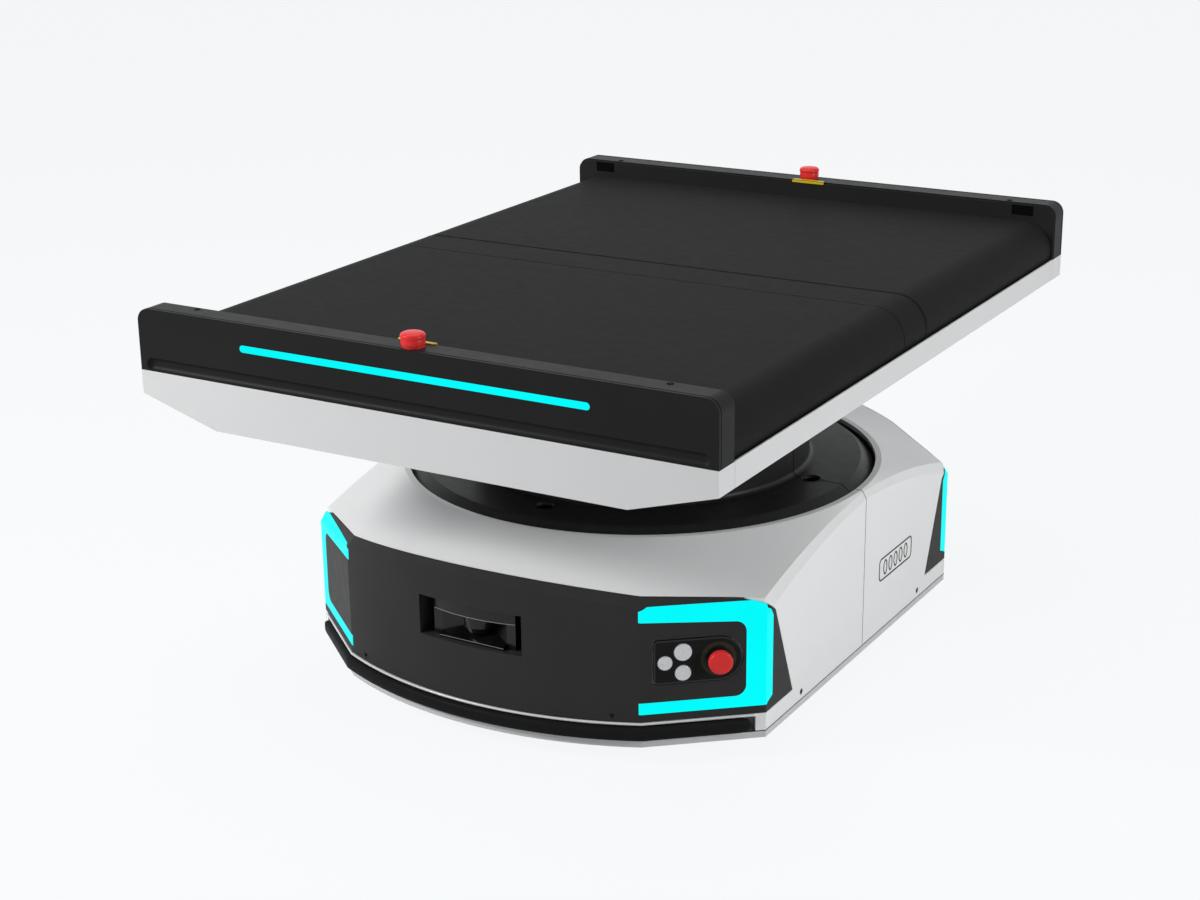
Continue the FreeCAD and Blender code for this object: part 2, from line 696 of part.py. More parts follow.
def make_controller(name):
    body = new_body(name)
    low = "deck_plate_top + ring_gap"
    rear = "-controller_start"
    outline = box_outline("-controller_width/2", "controller_width/2", rear + " - controller_length", rear)
    add_pad(body, "XY", low, "%s + controller_height" % low, outline)
    soften(body, "screw_radius", upright)
    top = "%s + controller_height" % low
    for step in range(9):
        start = "-controller_width/2 + controller_width*%d/10" % (step + 1)
        rib = box_outline(start, start + " + 4", rear + " - controller_length + 10", rear + " - 10")
        add_pocket(body, "XY", top + " - 5", top, rib)
    return body


keep("chassis_frame", make_chassis("chassis_frame"))
keep("turntable_frame", make_turntable_frame("turntable_frame"))
keep("battery_pack", make_battery("battery_pack"))
keep("controller_box", make_controller("controller_box"))


# ---------------------------------------------------------------- slewing ring and its drive


def involute(angle):
    return math.tan(angle) - angle


def gear_wire(teeth, low, high, thickness, turn):
    """Outline of an external gear: thickness is the tooth at the pitch circle, turn starts a tooth."""
    pitch = number("gear_module") * teeth / 2
    pressure = math.radians(20)
    base = pitch * math.cos(pressure)
    points = []
    radii = [low + (high - low) * share for share in (0, 0.35, 0.7, 1)]
    for tooth in range(teeth):
        middle = turn + 2 * math.pi * tooth / teeth
        halves = []
        for radius in radii:
            slant = math.acos(min(base / radius, 1.0))
            halves.append(thickness / (2 * pitch) + involute(pressure) - involute(slant))
        for radius, half in zip(radii, halves):
            points.append(Vector(radius * math.cos(middle - half), radius * math.sin(middle - half), 0))
        for radius, half in zip(reversed(radii), reversed(halves)):
            points.append(Vector(radius * math.cos(middle + half), radius * math.sin(middle + half), 0))
    return Part.makePolygon(points + points[:1])


def gear_prism(wire, low, high):
    prism = Part.Face(wire).extrude(Vector(0, 0, number(high) - number(low)))
    prism.translate(Vector(0, 0, number(low)))
    return prism


def make_inner_ring():
    """The moving race, toothed inside."""
    module = number("gear_module")
    pitch = number("gear_pitch_radius")
    low = "ring_bottom + ring_step"
    space = math.pi * module / 2 + number("gear_backlash") / 2
    teeth = int(number("gear_teeth"))
    wire = gear_wire(teeth, pitch - 0.7 * module, pitch + 1.25 * module, space, math.pi / 2)
    ring = Part.makeCylinder(
        number("ring_split_radius - ring_gap/2"),
        number("ring_height"),
        Vector(0, 0, number(low)),
    )
    item = doc.addObject("Part::Feature", "inner_ring")
    item.Shape = ring.cut(gear_prism(wire, low, "inner_ring_top"))
    return item


def make_pinion():
    """Pinion and shaft, one piece."""
    module = number("gear_module")
    pitch = number("pinion_pitch_radius")
    low = "ring_bottom + ring_step + 1"
    tooth = math.pi * module / 2 - number("gear_backlash") / 2
    teeth = int(number("pinion_teeth"))
    wire = gear_wire(teeth, pitch - 1.25 * module, pitch + module, tooth, math.pi / 2)
    shaft_start = number("frame_ring_height - turn_gearbox_length/3")
    shaft = Part.makeCylinder(number("turn_shaft_radius"), number(low) - shaft_start, Vector(0, 0, shaft_start))
    item = doc.addObject("Part::Feature", "pinion")
    item.Shape = gear_prism(wire, low, low + " + gear_width").fuse(shaft)
    place(item, "0", "pinion_along", "0")
    return item


def make_turntable_motor(name):
    body = new_body(name)
    boss = "2*turn_shaft_radius + 6"
    gearbox_low = "frame_ring_height - turn_gearbox_length"
    motor_low = gearbox_low + " - turn_motor_length"
    bore = "turn_shaft_radius + journal_gap"
    bore_low = "frame_ring_height - turn_gearbox_length/3 - 1"
    add_turned(body, [
        ("0", motor_low),
        ("gearbox_radius - 6", motor_low),
        ("gearbox_radius - 6", gearbox_low),
        ("gearbox_radius", gearbox_low),
        ("gearbox_radius", "frame_ring_height"),
        (boss, "frame_ring_height"),
        (boss, "ring_bottom"),
        (bore, "ring_bottom"),
        (bore, bore_low),
        ("0", bore_low),
    ])
    place(body, "0", "pinion_along", "0")
    return body


def make_outer_ring(name):
    body = new_body(name)
    inner = "ring_split_radius + ring_gap/2"
    add_turned(body, ring_outline(inner, "ring_outer_radius", "ring_bottom", "ring_bottom + ring_height"))
    return body


keep("slewing_ring_outer", make_outer_ring("slewing_ring_outer"))
keep("slewing_ring_inner", make_inner_ring())
keep("turntable_pinion", make_pinion())
keep("turntable_motor", make_turntable_motor("turntable_motor"))


# ---------------------------------------------------------------- column and its covers


def make_column(name):
    body = new_body(name)
    inside = "column_radius - column_wall"
    add_turned(body, [
        (inside, "inner_ring_top"),
        ("ring_split_radius - pan_thickness", "inner_ring_top"),
        ("ring_split_radius - pan_thickness", "inner_ring_top + column_flange"),
        ("column_radius", "inner_ring_top + column_flange"),
        ("column_radius", "column_top - column_flange"),
        ("column_head_radius", "column_top - column_flange"),
        ("column_head_radius", "column_top"),
        (inside, "column_top"),
    ])
    return body


def make_column_cover(name):
    """Half of the disc and hub that hide the column, hung from the column's upper flange."""
    body = new_body(name)
    inside = "cover_hub_radius - cover_wall"
    lip_top = "column_top - column_flange - ring_gap"
    lip_low = lip_top + " - cover_wall"
    lip_start = "column_head_radius - 30"
    disc_low = "cover_disc_height - cover_wall"
    bevel_start = "cover_disc_radius - cover_bevel_width"
    top = "tray_bottom_height - cover_top_gap"
    add_turned(body, [
        (lip_start, lip_low),
        (inside, lip_low),
        (inside, "cover_disc_height + cover_flare"),
        ("%s + cover_flare" % inside, disc_low),
        ("%s - 1" % bevel_start, disc_low),
        ("cover_disc_radius - cover_wall", "cover_disc_height - cover_bevel_drop - 1"),
        ("cover_disc_radius", "cover_disc_height - cover_bevel_drop"),
        (bevel_start, "cover_disc_height"),
        ("cover_hub_radius + cover_flare", "cover_disc_height"),
        ("cover_hub_radius", "cover_disc_height + cover_flare", "cover_flare", -1),
        ("cover_hub_radius", top),
        (inside, top),
        (inside, lip_top),
        (lip_start, lip_top),
    ])
    reach = "cover_disc_radius + 1"
    half = box_outline("-(%s)" % reach, reach, "-seam_gap/2", reach)
    low = "cover_disc_height - 2*cover_bevel_drop"
    add_pocket(body, "XY", low, "tray_bottom_height", half)
    holes = [
        ("cover_hole_reach", "0", "cover_hole_radius"),
        ("-cover_hole_reach", "0", "cover_hole_radius"),
        ("0", "-cover_hole_reach", "cover_hole_radius"),
    ]
    add_pocket(body, "XY", low, "cover_disc_height", *holes)
    return body


keep("column", make_column("column"))
keep("column_cover_front", make_column_cover("column_cover_front"))
keep("column_cover_rear", rear_copy(make_column_cover, "column_cover_rear"))


# ---------------------------------------------------------------- transfer deck


def stadium_outline(across, middle, radius):
    """Loop round two equal circles at plus and minus across."""
    low = "%s - (%s)" % (middle, radius)
    high = "%s + (%s)" % (middle, radius)
    return [
        ("-%s" % across, low, radius, 1),
        (across, low),
        ("%s + (%s)" % (across, radius), middle, radius, 1),
        (across, high, radius, 1),
        ("-%s" % across, high),
        ("-%s - (%s)" % (across, radius), middle, radius, 1),
    ]


def make_tray_sides(name):
    """Two side panels, each with half of the floor."""
    body = new_body(name)
    bend = "tray_wall*tan((90 - tray_slope)/2)"
    turn_in = "tray_wall*tan(tray_slope/2)"
    panels = []
    for sign in ("", "-"):
        panels.append([
            (sign + "(seam_gap/2)", "tray_bottom_height"),
            (sign + "(tray_floor_width/2)", "tray_bottom_height"),
            (sign + "half_deck", "tray_shoulder_height"),
            (sign + "half_deck", "tray_rim_height"),
            (sign + "(half_deck - tray_wall)", "tray_rim_height"),
            (sign + "(half_deck - tray_wall)", "tray_shoulder_height + " + bend),
            (sign + "(tray_floor_width/2 - %s)" % turn_in, "tray_bottom_height + tray_wall"),
            (sign + "(seam_gap/2)", "tray_bottom_height + tray_wall"),
        ])
    end = "guard_inner - seam_gap/2"
    add_pad(body, "XZ", "-(%s)" % end, end, *panels)
    hole = ("0", "0", "column_head_radius + pan_thickness")
    add_pocket(body, "XY", "tray_bottom_height - 1", "column_top", hole)
    return body


def tray_outline(inset, low, top):
    """Section of the tray's end, moved inwards and open upwards."""
    side = "(half_deck - %s)" % inset
    bend = "%s*tan((90 - tray_slope)/2)" % inset
    floor_end = "(tray_floor_width/2 - %s*tan(tray_slope/2))" % inset
    return [
        ("-" + floor_end, low),
        (floor_end, low),
        (side, "tray_shoulder_height + " + bend),
        (side, top),
        ("-" + side, top),
        ("-" + side, "tray_shoulder_height + " + bend),
    ]


def make_tray_ends(name):
    """Two pans that close the tray under the guards."""
    body = new_body(name)
    start = "guard_inner + seam_gap/2"
    outside = tray_outline("0", "tray_bottom_height", "tray_rim_height")
    inside = tray_outline("tray_wall", "tray_bottom_height + tray_wall", "tray_rim_height + 1")
    add_pad(body, "XZ", "-half_length", "-(%s)" % start, outside)
    add_pad(body, "XZ", start, "half_length", outside)
    add_pocket(body, "XZ", "-(half_length - tray_wall)", "half_length - tray_wall", inside)
    return body


def make_deck_frame(name):
    """Bottom plate, end plates, centre plates and slider beds, welded together."""
    body = new_body(name)
    foot = "tray_floor_width/2 - 2*frame_plate"
    end = "end_plate + frame_plate"
    floor_top = "column_top + frame_plate"
    add_pad(body, "XY", "column_top", floor_top, box_outline("-(%s)" % foot, foot, "-(%s)" % end, end))
    shoulder = "half_deck - 2.5*frame_plate"
    shoulder_height = "tray_shoulder_height + frame_plate"
    plate_top = "sensor_sill - pan_thickness"
    end_plate = [
        ("-(%s)" % foot, "column_top"),
        (foot, "column_top"),
        (shoulder, shoulder_height),
        (shoulder, plate_top),
        ("-(%s)" % shoulder, plate_top),
        ("-(%s)" % shoulder, shoulder_height),
    ]
    hub = "(roller_radius - strip_thickness)"
    lug = "(roller_height - %s)" % hub
    centre_plate = [
        (foot, "column_top"),
        (foot, lug),
        ("roller_across", lug),
        ("roller_across + " + hub, "roller_height", hub, 1),
        ("roller_across", "roller_height + " + hub, hub, 1),
        ("-roller_across", "roller_height + " + hub),
        ("-roller_across - " + hub, "roller_height", hub, 1),
        ("-roller_across", lug, hub, 1),
        ("-(%s)" % foot, lug),
        ("-(%s)" % foot, "column_top"),
    ]
    bed_half = "roller_across - roller_radius - bed_end_gap"
    for sign in (1, -1):
        centre = "frame_plate_spacing/2"
        for near, far, outline in (
            ("(end_plate)", "(%s)" % end, end_plate),
            ("(%s - frame_plate)" % centre, "(%s)" % centre, centre_plate),
        ):
            low, high = (near, far) if sign > 0 else ("-" + far, "-" + near)
            add_pad(body, "XZ", low, high, outline)
        near, far = "(%s - frame_plate)" % centre, "(%s)" % end
        low, high = (near, far) if sign > 0 else ("-" + far, "-" + near)
        bed = box_outline("-(%s)" % bed_half, bed_half, low, high)
        add_pad(body, "XY", "bed_top - bed_thickness", "bed_top", bed)
    bearings = [(sign + "roller_across", "roller_height", "journal_radius + journal_gap") for sign in ("", "-")]
    add_pocket(body, "XZ", "-half_length", "half_length", *bearings)
    return body


def make_roller(side, end):
    """One roller with its journals: side is 1 at +X, end is 1 at the rear."""
    across = "%d*roller_across" % side
    spans = (
        ("roller_radius", "belt_start + 1", "belt_end - 1"),
        ("journal_radius", "frame_plate_spacing/2 - frame_plate", "end_plate + frame_plate"),
    )
    rods = []
    for radius, near, far in spans:
        low, high = (near, far) if end > 0 else ("-(%s)" % far, "-(%s)" % near)
        rods.append(rod("Y", radius, low, high, across, "roller_height"))
    return fuse(*rods)


def make_belt(name):
    body = new_body(name)
    outer = stadium_outline("roller_across", "roller_height", "belt_outer_radius")
    inner = stadium_outline("roller_across", "roller_height", "belt_inner_radius")
    add_pad(body, "XZ", "-belt_end", "-belt_start", outer, inner)
    return body


def make_centre_strip(name):
    """Rigid cover between the belts, hemmed under the rollers."""
    body = new_body(name)
    inner = "(belt_outer_radius - strip_thickness)"
    hem = "(roller_across - strip_hem)"
    corners = []
    for radius, sign in (("belt_outer_radius", 1), (inner, -1)):
        low, high = "roller_height - " + radius, "roller_height + " + radius
        right = [
            (hem, low),
            ("roller_across", low),
            ("roller_across + " + radius, "roller_height", radius, 1),
            ("roller_across", high, radius, 1),
        ]
        left = [
            ("-roller_across", high),
            ("-roller_across - " + radius, "roller_height", radius, 1),
            ("-roller_across", low, radius, 1),
            ("-" + hem, low),
        ]
        if sign > 0:
            corners += right + left
        else:
            corners += [
                ("-" + hem, low),
                ("-roller_across", low),
                ("-roller_across - " + radius, "roller_height", radius, -1),
                ("-roller_across", high, radius, -1),
                ("roller_across", high),
                ("roller_across + " + radius, "roller_height", radius, -1),
                ("roller_across", low, radius, -1),
                (hem, low),
            ]
    add_pad(body, "XZ", "-strip_width/2", "strip_width/2", corners)
    return body


keep("tray_sides", make_tray_sides("tray_sides"))
keep("tray_ends", make_tray_ends("tray_ends"))
keep("deck_frame", make_deck_frame("deck_frame"))
ROLLERS = (
    ("drum_roller_front", 1, -1),
    ("idler_roller_front", -1, -1),
    ("drum_roller_rear", 1, 1),
    ("idler_roller_rear", -1, 1),
)
for name, side, end in ROLLERS:
    keep(name, make_roller(side, end))
keep("belt_front", make_belt("belt_front"))
keep("belt_rear", rear_copy(make_belt, "belt_rear"))
keep("centre_strip", make_centre_strip("centre_strip"))


# ---------------------------------------------------------------- end guards


def rounded_top(half, low, top, radius):
    """A plate with its two upper corners rounded."""
    return [
        ("-(%s)" % half, low),
        (half, low),
        (half, "%s - (%s)" % (top, radius)),
        ("%s - (%s)" % (half, radius), top, radius, 1),
        ("-(%s) + (%s)" % (half, radius), top),
        ("-(%s)" % half, "%s - (%s)" % (top, radius), radius, 1),
    ]


def bar_outline(length, width, middle, gap):
    """Round-ended bar, grown by a gap."""
    radius = "(%s/2 + %s)" % (width, gap)
    return stadium_outline("(%s/2 - %s/2)" % (length, width), middle, radius)


def make_guard_cover(name):
    """Hollow end guard, open below and towards the belts."""
    body = new_body(name)
    outer = "-half_length"
    add_pad(body, "XZ", outer, "-liner_outer", rounded_top("half_deck", "tray_rim_height", "guard_top",
                                                          "guard_corner_radius"))
    hollow = rounded_top("half_deck - guard_wall", "tray_rim_height - 1", "guard_top - guard_wall",
                         "guard_corner_radius - guard_wall")
    thin = "-(half_length - guard_face_wall)"
    thick = "-(half_length - guard_face_wall - guard_groove_depth)"
    add_pocket(body, "XZ", thick, "-liner_outer", hollow)
    above_groove = rounded_top("half_deck - guard_wall", "tray_rim_height + 3*guard_groove_height",
                               "guard_top - guard_wall", "guard_corner_radius - guard_wall")
    add_pocket(body, "XZ", thin, thick, above_groove)
    slot = bar_outline("light_bar_length", "light_bar_width", "light_bar_height", "light_clearance")
    add_pocket(body, "XZ", outer, outer + " + light_bar_depth + light_clearance", slot)
    line = "-(half_length - guard_line_setback)"
    outside = rounded_top("half_deck + 1", "tray_rim_height - 1", "guard_top + 1", "guard_corner_radius + 1")
    inside = rounded_top("half_deck - guard_line_width", "tray_rim_height", "guard_top - guard_line_width",
                         "guard_corner_radius - guard_line_width")
    add_pocket(body, "XZ", line, line + " + guard_line_width", outside, inside)
    neck = ("0", "-stop_along", "stop_neck_radius + screw_gap")
    add_pocket(body, "XY", "guard_top - 2*guard_wall", "guard_top", neck)
    return body


def make_guard(name):
    """The cover with its finger groove cut along the foot."""
    back = "-(half_length + guard_groove_radius - guard_groove_depth)"
    height = "tray_rim_height + guard_groove_height"
    reach = "(guard_groove_length/2 - guard_groove_radius)"
    groove = rod("X", "guard_groove_radius", "-" + reach, reach, back, height)
    ends = []
    for sign in ("", "-"):
        ball = doc.addObject("Part::Sphere", "groove_end")
        drive(ball, "Radius", "guard_groove_radius")
        place(ball, sign + reach, back, height)
        ends.append(ball)
    return cut(make_guard_cover(name + "_cover"), groove, *ends)


def make_guard_liners(name):
    """The inner plates of both guards, open for the beds, the journals and the sensors."""
    body = new_body(name)
    top = "guard_top - liner_drop"
    plate = rounded_top("half_deck - guard_line_width", "tray_rim_height", top, "guard_corner_radius - liner_drop")
    add_pad(body, "XZ", "-liner_outer", "-guard_inner", plate)
    add_pad(body, "XZ", "guard_inner", "liner_outer", plate)
    bed_half = "(roller_across - roller_radius)"
    slot_top = "bed_top + belt_running_gap"
    openings = [box_outline("-" + bed_half, bed_half, "roller_height - roller_radius/2", slot_top)]
    for sign in ("", "-"):
        openings.append((sign + "roller_across", "roller_height", "journal_radius + 2"))
        near = "%s(sensor_spacing/2 - sensor_width/2)" % sign
        far = "%s(sensor_spacing/2 + sensor_width/2)" % sign
        openings.append(box_outline(near, far, "sensor_sill", "sensor_sill + sensor_window_height"))
    add_pocket(body, "XZ", "-half_length", "half_length", *openings)
    return body


def make_light_bars(name):
    body = new_body(name)
    bar = bar_outline("light_bar_length", "light_bar_width", "light_bar_height", "0")
    add_pad(body, "XZ", "-half_length", "-half_length + light_bar_depth", bar)
    add_pad(body, "XZ", "half_length - light_bar_depth", "half_length", bar)
    return body


def make_item_sensors():
    blocks = []
    gap = "ring_gap"
    near = "guard_inner + 1.5"
    for x in ("", "-"):
        for rear in (True, False):
            low, high = near, near + " + sensor_depth"
            if not rear:
                low, high = "-(%s)" % high, "-(%s)" % low
            middle = "%s(sensor_spacing/2)" % x
            half = "(sensor_width/2 - %s)" % gap
            low_z = "sensor_sill + " + gap
            high_z = "sensor_sill + sensor_window_height - " + gap
            blocks.append(block(middle + " - " + half, middle + " + " + half, low, high, low_z, high_z))
    return group(*blocks)


def make_deck_stop_head(name):
    """Mushroom head and stem, upright on the front guard."""
    body = new_body(name)
    low = "guard_top + stop_travel + ring_gap + liner_thickness"
    top = low + " + stop_head_height"
    crown = "pan_thickness"
    add_turned(body, [
        ("0", "guard_top - 2*stop_head_height"),
        ("stop_stem_radius", "guard_top - 2*stop_head_height"),
        ("stop_stem_radius", low),
        ("stop_head_radius", low),
        ("stop_head_radius", "%s - %s" % (top, crown)),
        ("stop_head_radius - " + crown, top, crown, 1),
        ("0", top),
    ])
    return body


def make_deck_stop_blocks():
    """Collar, neck and contact block of both deck stop buttons."""
    units = []
    for sign in ("", "-"):
        along = sign + "stop_along"
        block_top = "guard_top - 2*guard_wall"
        half = "stop_block/2"
        unit = fuse(
            rod("Z", "stop_collar_radius", "guard_top", "guard_top + liner_thickness", "0", along),
            rod("Z", "stop_neck_radius", block_top, "guard_top + 1", "0", along),
            block("-" + half, half, along + " - " + half, along + " + " + half, block_top + " - stop_block_depth",
                  block_top),
        )
        bore = rod("Z", "stop_stem_radius + bumper_pin_gap", "guard_top - 2.5*stop_head_height - stop_travel",
                   "guard_top + 2*liner_thickness", "0", along)
        units.append(cut(unit, bore))
    return group(*units)


keep("guard_front", make_guard("guard_front"))
keep("guard_rear", rear_copy(make_guard, "guard_rear"))
keep("guard_liners", make_guard_liners("guard_liners"))
keep("light_bars", make_light_bars("light_bars"))
keep("item_sensors", make_item_sensors())
for name, sign in (("deck_stop_head_front", "-"), ("deck_stop_head_rear", "")):
    head = make_deck_stop_head(name)
    place(head, "0", sign + "stop_along", "0")
    keep(name, head)
keep("deck_stop_blocks", make_deck_stop_blocks())


# ---------------------------------------------------------------- drive and castors


def side_span(sign, near, far):
    """Low and high along X for a stretch that starts near the middle."""
    if sign > 0:
        return near, far
    return "-(%s)" % far, "-(%s)" % near


def side_rod(sign, radius, near, far, y_text, z_text):
    low, high = side_span(sign, near, far)
    return rod("X", radius, low, high, y_text, z_text)


def side_block(sign, near, far, y_low, y_high, z_low, z_high):
    low, high = side_span(sign, near, far)
    return block(low, high, y_low, y_high, z_low, z_high)


def make_arm(sign):
    """Suspension arm: pivot behind, shaft bearing in the middle, buffer pad in front."""
    near, far = "arm_inner", "arm_outer"
    axle = "drive_wheel_radius"
    web_half = "arm_boss_radius - pan_thickness"
    solid = fuse(
        side_rod(sign, "gearmotor_radius + pan_thickness", near, far, "0", axle),
        side_rod(sign, "arm_boss_radius", near, far, "arm_pivot_reach", "arm_pivot_height"),
        side_block(sign, near, far, "-arm_pad_reach - buffer_radius", "arm_pivot_reach",
                   axle + " - (%s)" % web_half, axle),
        side_block(sign, near, far, "-arm_pad_reach - buffer_radius", "-arm_pad_reach + buffer_radius",
                   axle + " - (%s)" % web_half, "arm_pad_height"),
        side_block(sign, near + " - buffer_radius", far, "-arm_pad_reach - buffer_radius",
                   "-arm_pad_reach + buffer_radius", "arm_pad_height - arm_thickness", "arm_pad_height"),
        side_rod(sign, "pivot_radius", near + " - ring_gap - arm_lug", far + " + ring_gap + arm_lug",
                 "arm_pivot_reach", "arm_pivot_height"),
    )
    bearing = side_rod(sign, "drive_bore_radius + journal_gap", near + " - 1", far + " + 1", "0", axle)
    return cut(solid, bearing)


def make_gearmotor(sign):
    """Planetary gearbox and motor, bolted to the inner face of the arm."""
    axle = "drive_wheel_radius"
    gearbox_end = "arm_inner - gearbox_length"
    return fuse(
        side_rod(sign, "gearmotor_radius", gearbox_end, "arm_inner", "0", axle),
        side_rod(sign, "gearmotor_radius - 3", gearbox_end + " - motor_length", gearbox_end, "0", axle),
        side_rod(sign, "gearmotor_radius - 8", gearbox_end + " - motor_length - 10", gearbox_end, "0", axle),
    )


def make_drive_wheel(name, sign):
    """Rubber-treaded wheel and its shaft: turned upright, then laid over."""
    body = new_body(name)
    half = "drive_wheel_width/2"
    edge = "pan_thickness"
    shaft = "wheel_inner_face - arm_inner - ring_gap"
    dish = "drive_wheel_radius*0.72"
    add_turned(body, [
        ("0", "-(%s) - (%s)" % (half, shaft)),
        ("drive_bore_radius", "-(%s) - (%s)" % (half, shaft)),
        ("drive_bore_radius", "-(%s)" % half),
        ("2*drive_bore_radius", "-(%s)" % half),
        ("2*drive_bore_radius", "-(%s)/2" % half),
        (dish, "-(%s)/2" % half),
        (dish, "-(%s)" % half),
        ("drive_wheel_radius - " + edge, "-(%s)" % half),
        ("drive_wheel_radius", "-(%s) + %s" % (half, edge), edge, 1),
        ("drive_wheel_radius", "%s - %s" % (half, edge)),
        ("drive_wheel_radius - " + edge, half, edge, 1),
        (dish, half),
        (dish, "(%s)/2" % half),
        ("2*drive_bore_radius", "(%s)/2" % half),
        ("2*drive_bore_radius", "%s - 2" % half),
        ("0", "%s - 2" % half),
    ])
    body.Placement = Placement(Vector(), Rotation(Vector(0, 1, 0), 90 * sign))
    drive(body, "Placement.Base.x", "%d*drive_track/2" % sign)
    drive(body, "Placement.Base.z", "drive_wheel_radius")
    return body


def make_buffer(sign):
    """Rubber spring between the arm's pad and the chassis."""
    across = "%d*((arm_inner + arm_outer - buffer_radius)/2)" % sign
    low, high = "arm_pad_height + journal_gap", "deck_plate_height - journal_gap"
    solid = rod("Z", "buffer_radius", low, high, across, "-arm_pad_reach")
    bore = rod("Z", "buffer_bore", low + " - 1", high + " + 1", across, "-arm_pad_reach")
    return cut(solid, bore)


def make_castor_fork(x, y):
    """Kingpin with its head, crown, two legs and the axle."""
    across, along = x + "castor_across", y + "castor_along"
    axle_along = "%s + castor_trail" % along
    crown_low = "castor_crown_top - castor_crown"
    solids = [
        rod("Z", "castor_pin_radius", crown_low, "deck_plate_top + castor_crown", across, along),
        rod("Z", "2*castor_pin_radius", "deck_plate_top + castor_top_gap", "deck_plate_top + castor_crown",
            across, along),
        rod("Z", "3*castor_pin_radius", crown_low, "castor_crown_top", across, along),
        block("%s - fork_half - castor_leg" % across, "%s + fork_half + castor_leg" % across,
              along, axle_along, crown_low, "castor_crown_top"),
        rod("X", "castor_axle_radius", "%s - fork_half - castor_leg - 2" % across,
            "%s + fork_half + castor_leg + 2" % across, axle_along, "castor_wheel_radius"),
    ]
    for near, far in (("- fork_half - castor_leg", "- fork_half"), ("+ fork_half", "+ fork_half + castor_leg")):
        low, high = across + " " + near, across + " " + far
        solids.append(block(low, high, "%s - 2*castor_axle_radius" % axle_along,
                            "%s + 2*castor_axle_radius" % axle_along, "castor_wheel_radius", "castor_crown_top"))
        solids.append(rod("X", "2*castor_axle_radius", low, high, axle_along, "castor_wheel_radius"))
    return fuse(*solids)


def make_castor_wheel(name, x, y):
    body = new_body(name)
    half = "castor_wheel_width/2"
    edge = "castor_leg"
    bore = "castor_axle_radius + journal_gap"
    dish = "castor_wheel_radius*0.62"
    add_turned(body, [
        (bore, "-" + half),
        ("2*castor_axle_radius", "-" + half),
        ("2*castor_axle_radius", "-%s + 3" % half),
        (dish, "-%s + 3" % half),
        (dish, "-" + half),
        ("castor_wheel_radius - " + edge, "-" + half),
        ("castor_wheel_radius", "-%s + %s" % (half, edge), edge, 1),
        ("castor_wheel_radius", "%s - %s" % (half, edge)),
        ("castor_wheel_radius - " + edge, half, edge, 1),
        (dish, half),
        (dish, "%s - 3" % half),
        ("2*castor_axle_radius", "%s - 3" % half),
        ("2*castor_axle_radius", half),
        (bore, half),
    ])
    body.Placement = Placement(Vector(), Rotation(Vector(0, 1, 0), 90))
    drive(body, "Placement.Base.x", x + "castor_across")
    drive(body, "Placement.Base.y", "%scastor_along + castor_trail" % y)
    drive(body, "Placement.Base.z", "castor_wheel_radius")
    return body


for word, sign in (("left", -1), ("right", 1)):
    keep("suspension_arm_" + word, make_arm(sign))
    keep("gearmotor_" + word, make_gearmotor(sign))
    keep("drive_wheel_" + word, make_drive_wheel("drive_wheel_" + word, sign))
    keep("suspension_buffer_" + word, make_buffer(sign))
CASTORS = (("front_right", "", "-"), ("front_left", "-", "-"), ("rear_right", "", ""), ("rear_left", "-", ""))
for word, x, y in CASTORS:
    keep("castor_fork_" + word, make_castor_fork(x, y))
    keep("castor_wheel_" + word, make_castor_wheel("castor_wheel_" + word, x, y))


# ---------------------------------------------------------------- base covers


def cover_levels(inset, sink):
    """Corner points of the front half of the base's cover, from the foot to the rim.

    Each level is (side middle, corner, facet end, nose middle) on the +X side. The inset moves
    the walls inwards and the top down, and sink drops the rim to make a cutting form.
    """
    side, corner, across, along, _ = base_corners(inset)
    brow = base_corners("%s + brow_inset" % inset)
    half_drop = "(%s)/2" % inset
    brow_side = "(half_base - (%s) - 0.7*brow_inset)" % inset
    brow_corner = "((facet_reach - (%s) - brow_inset - facet_nx*%s)/facet_ny)" % (inset, brow_side)
    levels = [
        [(side, "0", "foot"), (side, corner, "foot"), (across, along, "foot"),
         ("0", "nose_reach - (%s)" % inset, "foot")],
        [(side, "0", "crease_side - (%s)" % inset), (side, corner, "crease_corner - " + half_drop),
         (across, along, "crease_facet - " + half_drop),
         ("0", "nose_reach - (%s)" % inset, "crease_nose - " + half_drop)],
        [("%s - brow_side_inset" % side, "0", "brow_side - (%s)" % inset),
         (brow_side, brow_corner, "brow_corner - (%s)" % inset),
         (brow[2], brow[3], "brow_facet - (%s)" % inset),
         ("0", "nose_reach - (%s) - brow_nose_inset" % inset, "brow_nose - (%s)" % inset)],
    ]
    foot = number("shell_bottom") - (number(inset) > 0)
    points = []
    for level in levels:
        row = []
        for x_text, y_text, z_text in level:
            z = foot if z_text == "foot" else number(z_text)
            row.append(Vector(number(x_text), -number(y_text), z))
        points.append(row)
    rim_z = number("rim_height") - number(inset) - sink
    radius = number("rim_radius") - number(inset)
    rim = [Vector(radius, 0, rim_z)]
    for corner_point in points[2][1:3]:
        flat = Vector(corner_point.x, corner_point.y, 0).normalize() * radius
        rim.append(Vector(flat.x, flat.y, rim_z))
    rim.append(Vector(0, -radius, rim_z))
    points.append(rim)
    return points


def across_nose(point):
    return Vector(-point.x, point.y, point.z)


def bowed(start, end, level):
    """Middle of a side edge: straight at the foot, bowed upwards above it."""
    middle = (start + end) * 0.5
    if level in (1, 2):
        middle.z = end.z + (start.z - end.z) * 0.68
    if level == 3:
        radius = math.hypot(start.x, start.y)
        flat = Vector(middle.x, middle.y, 0).normalize() * radius
        middle = Vector(flat.x, flat.y, start.z)
    return middle


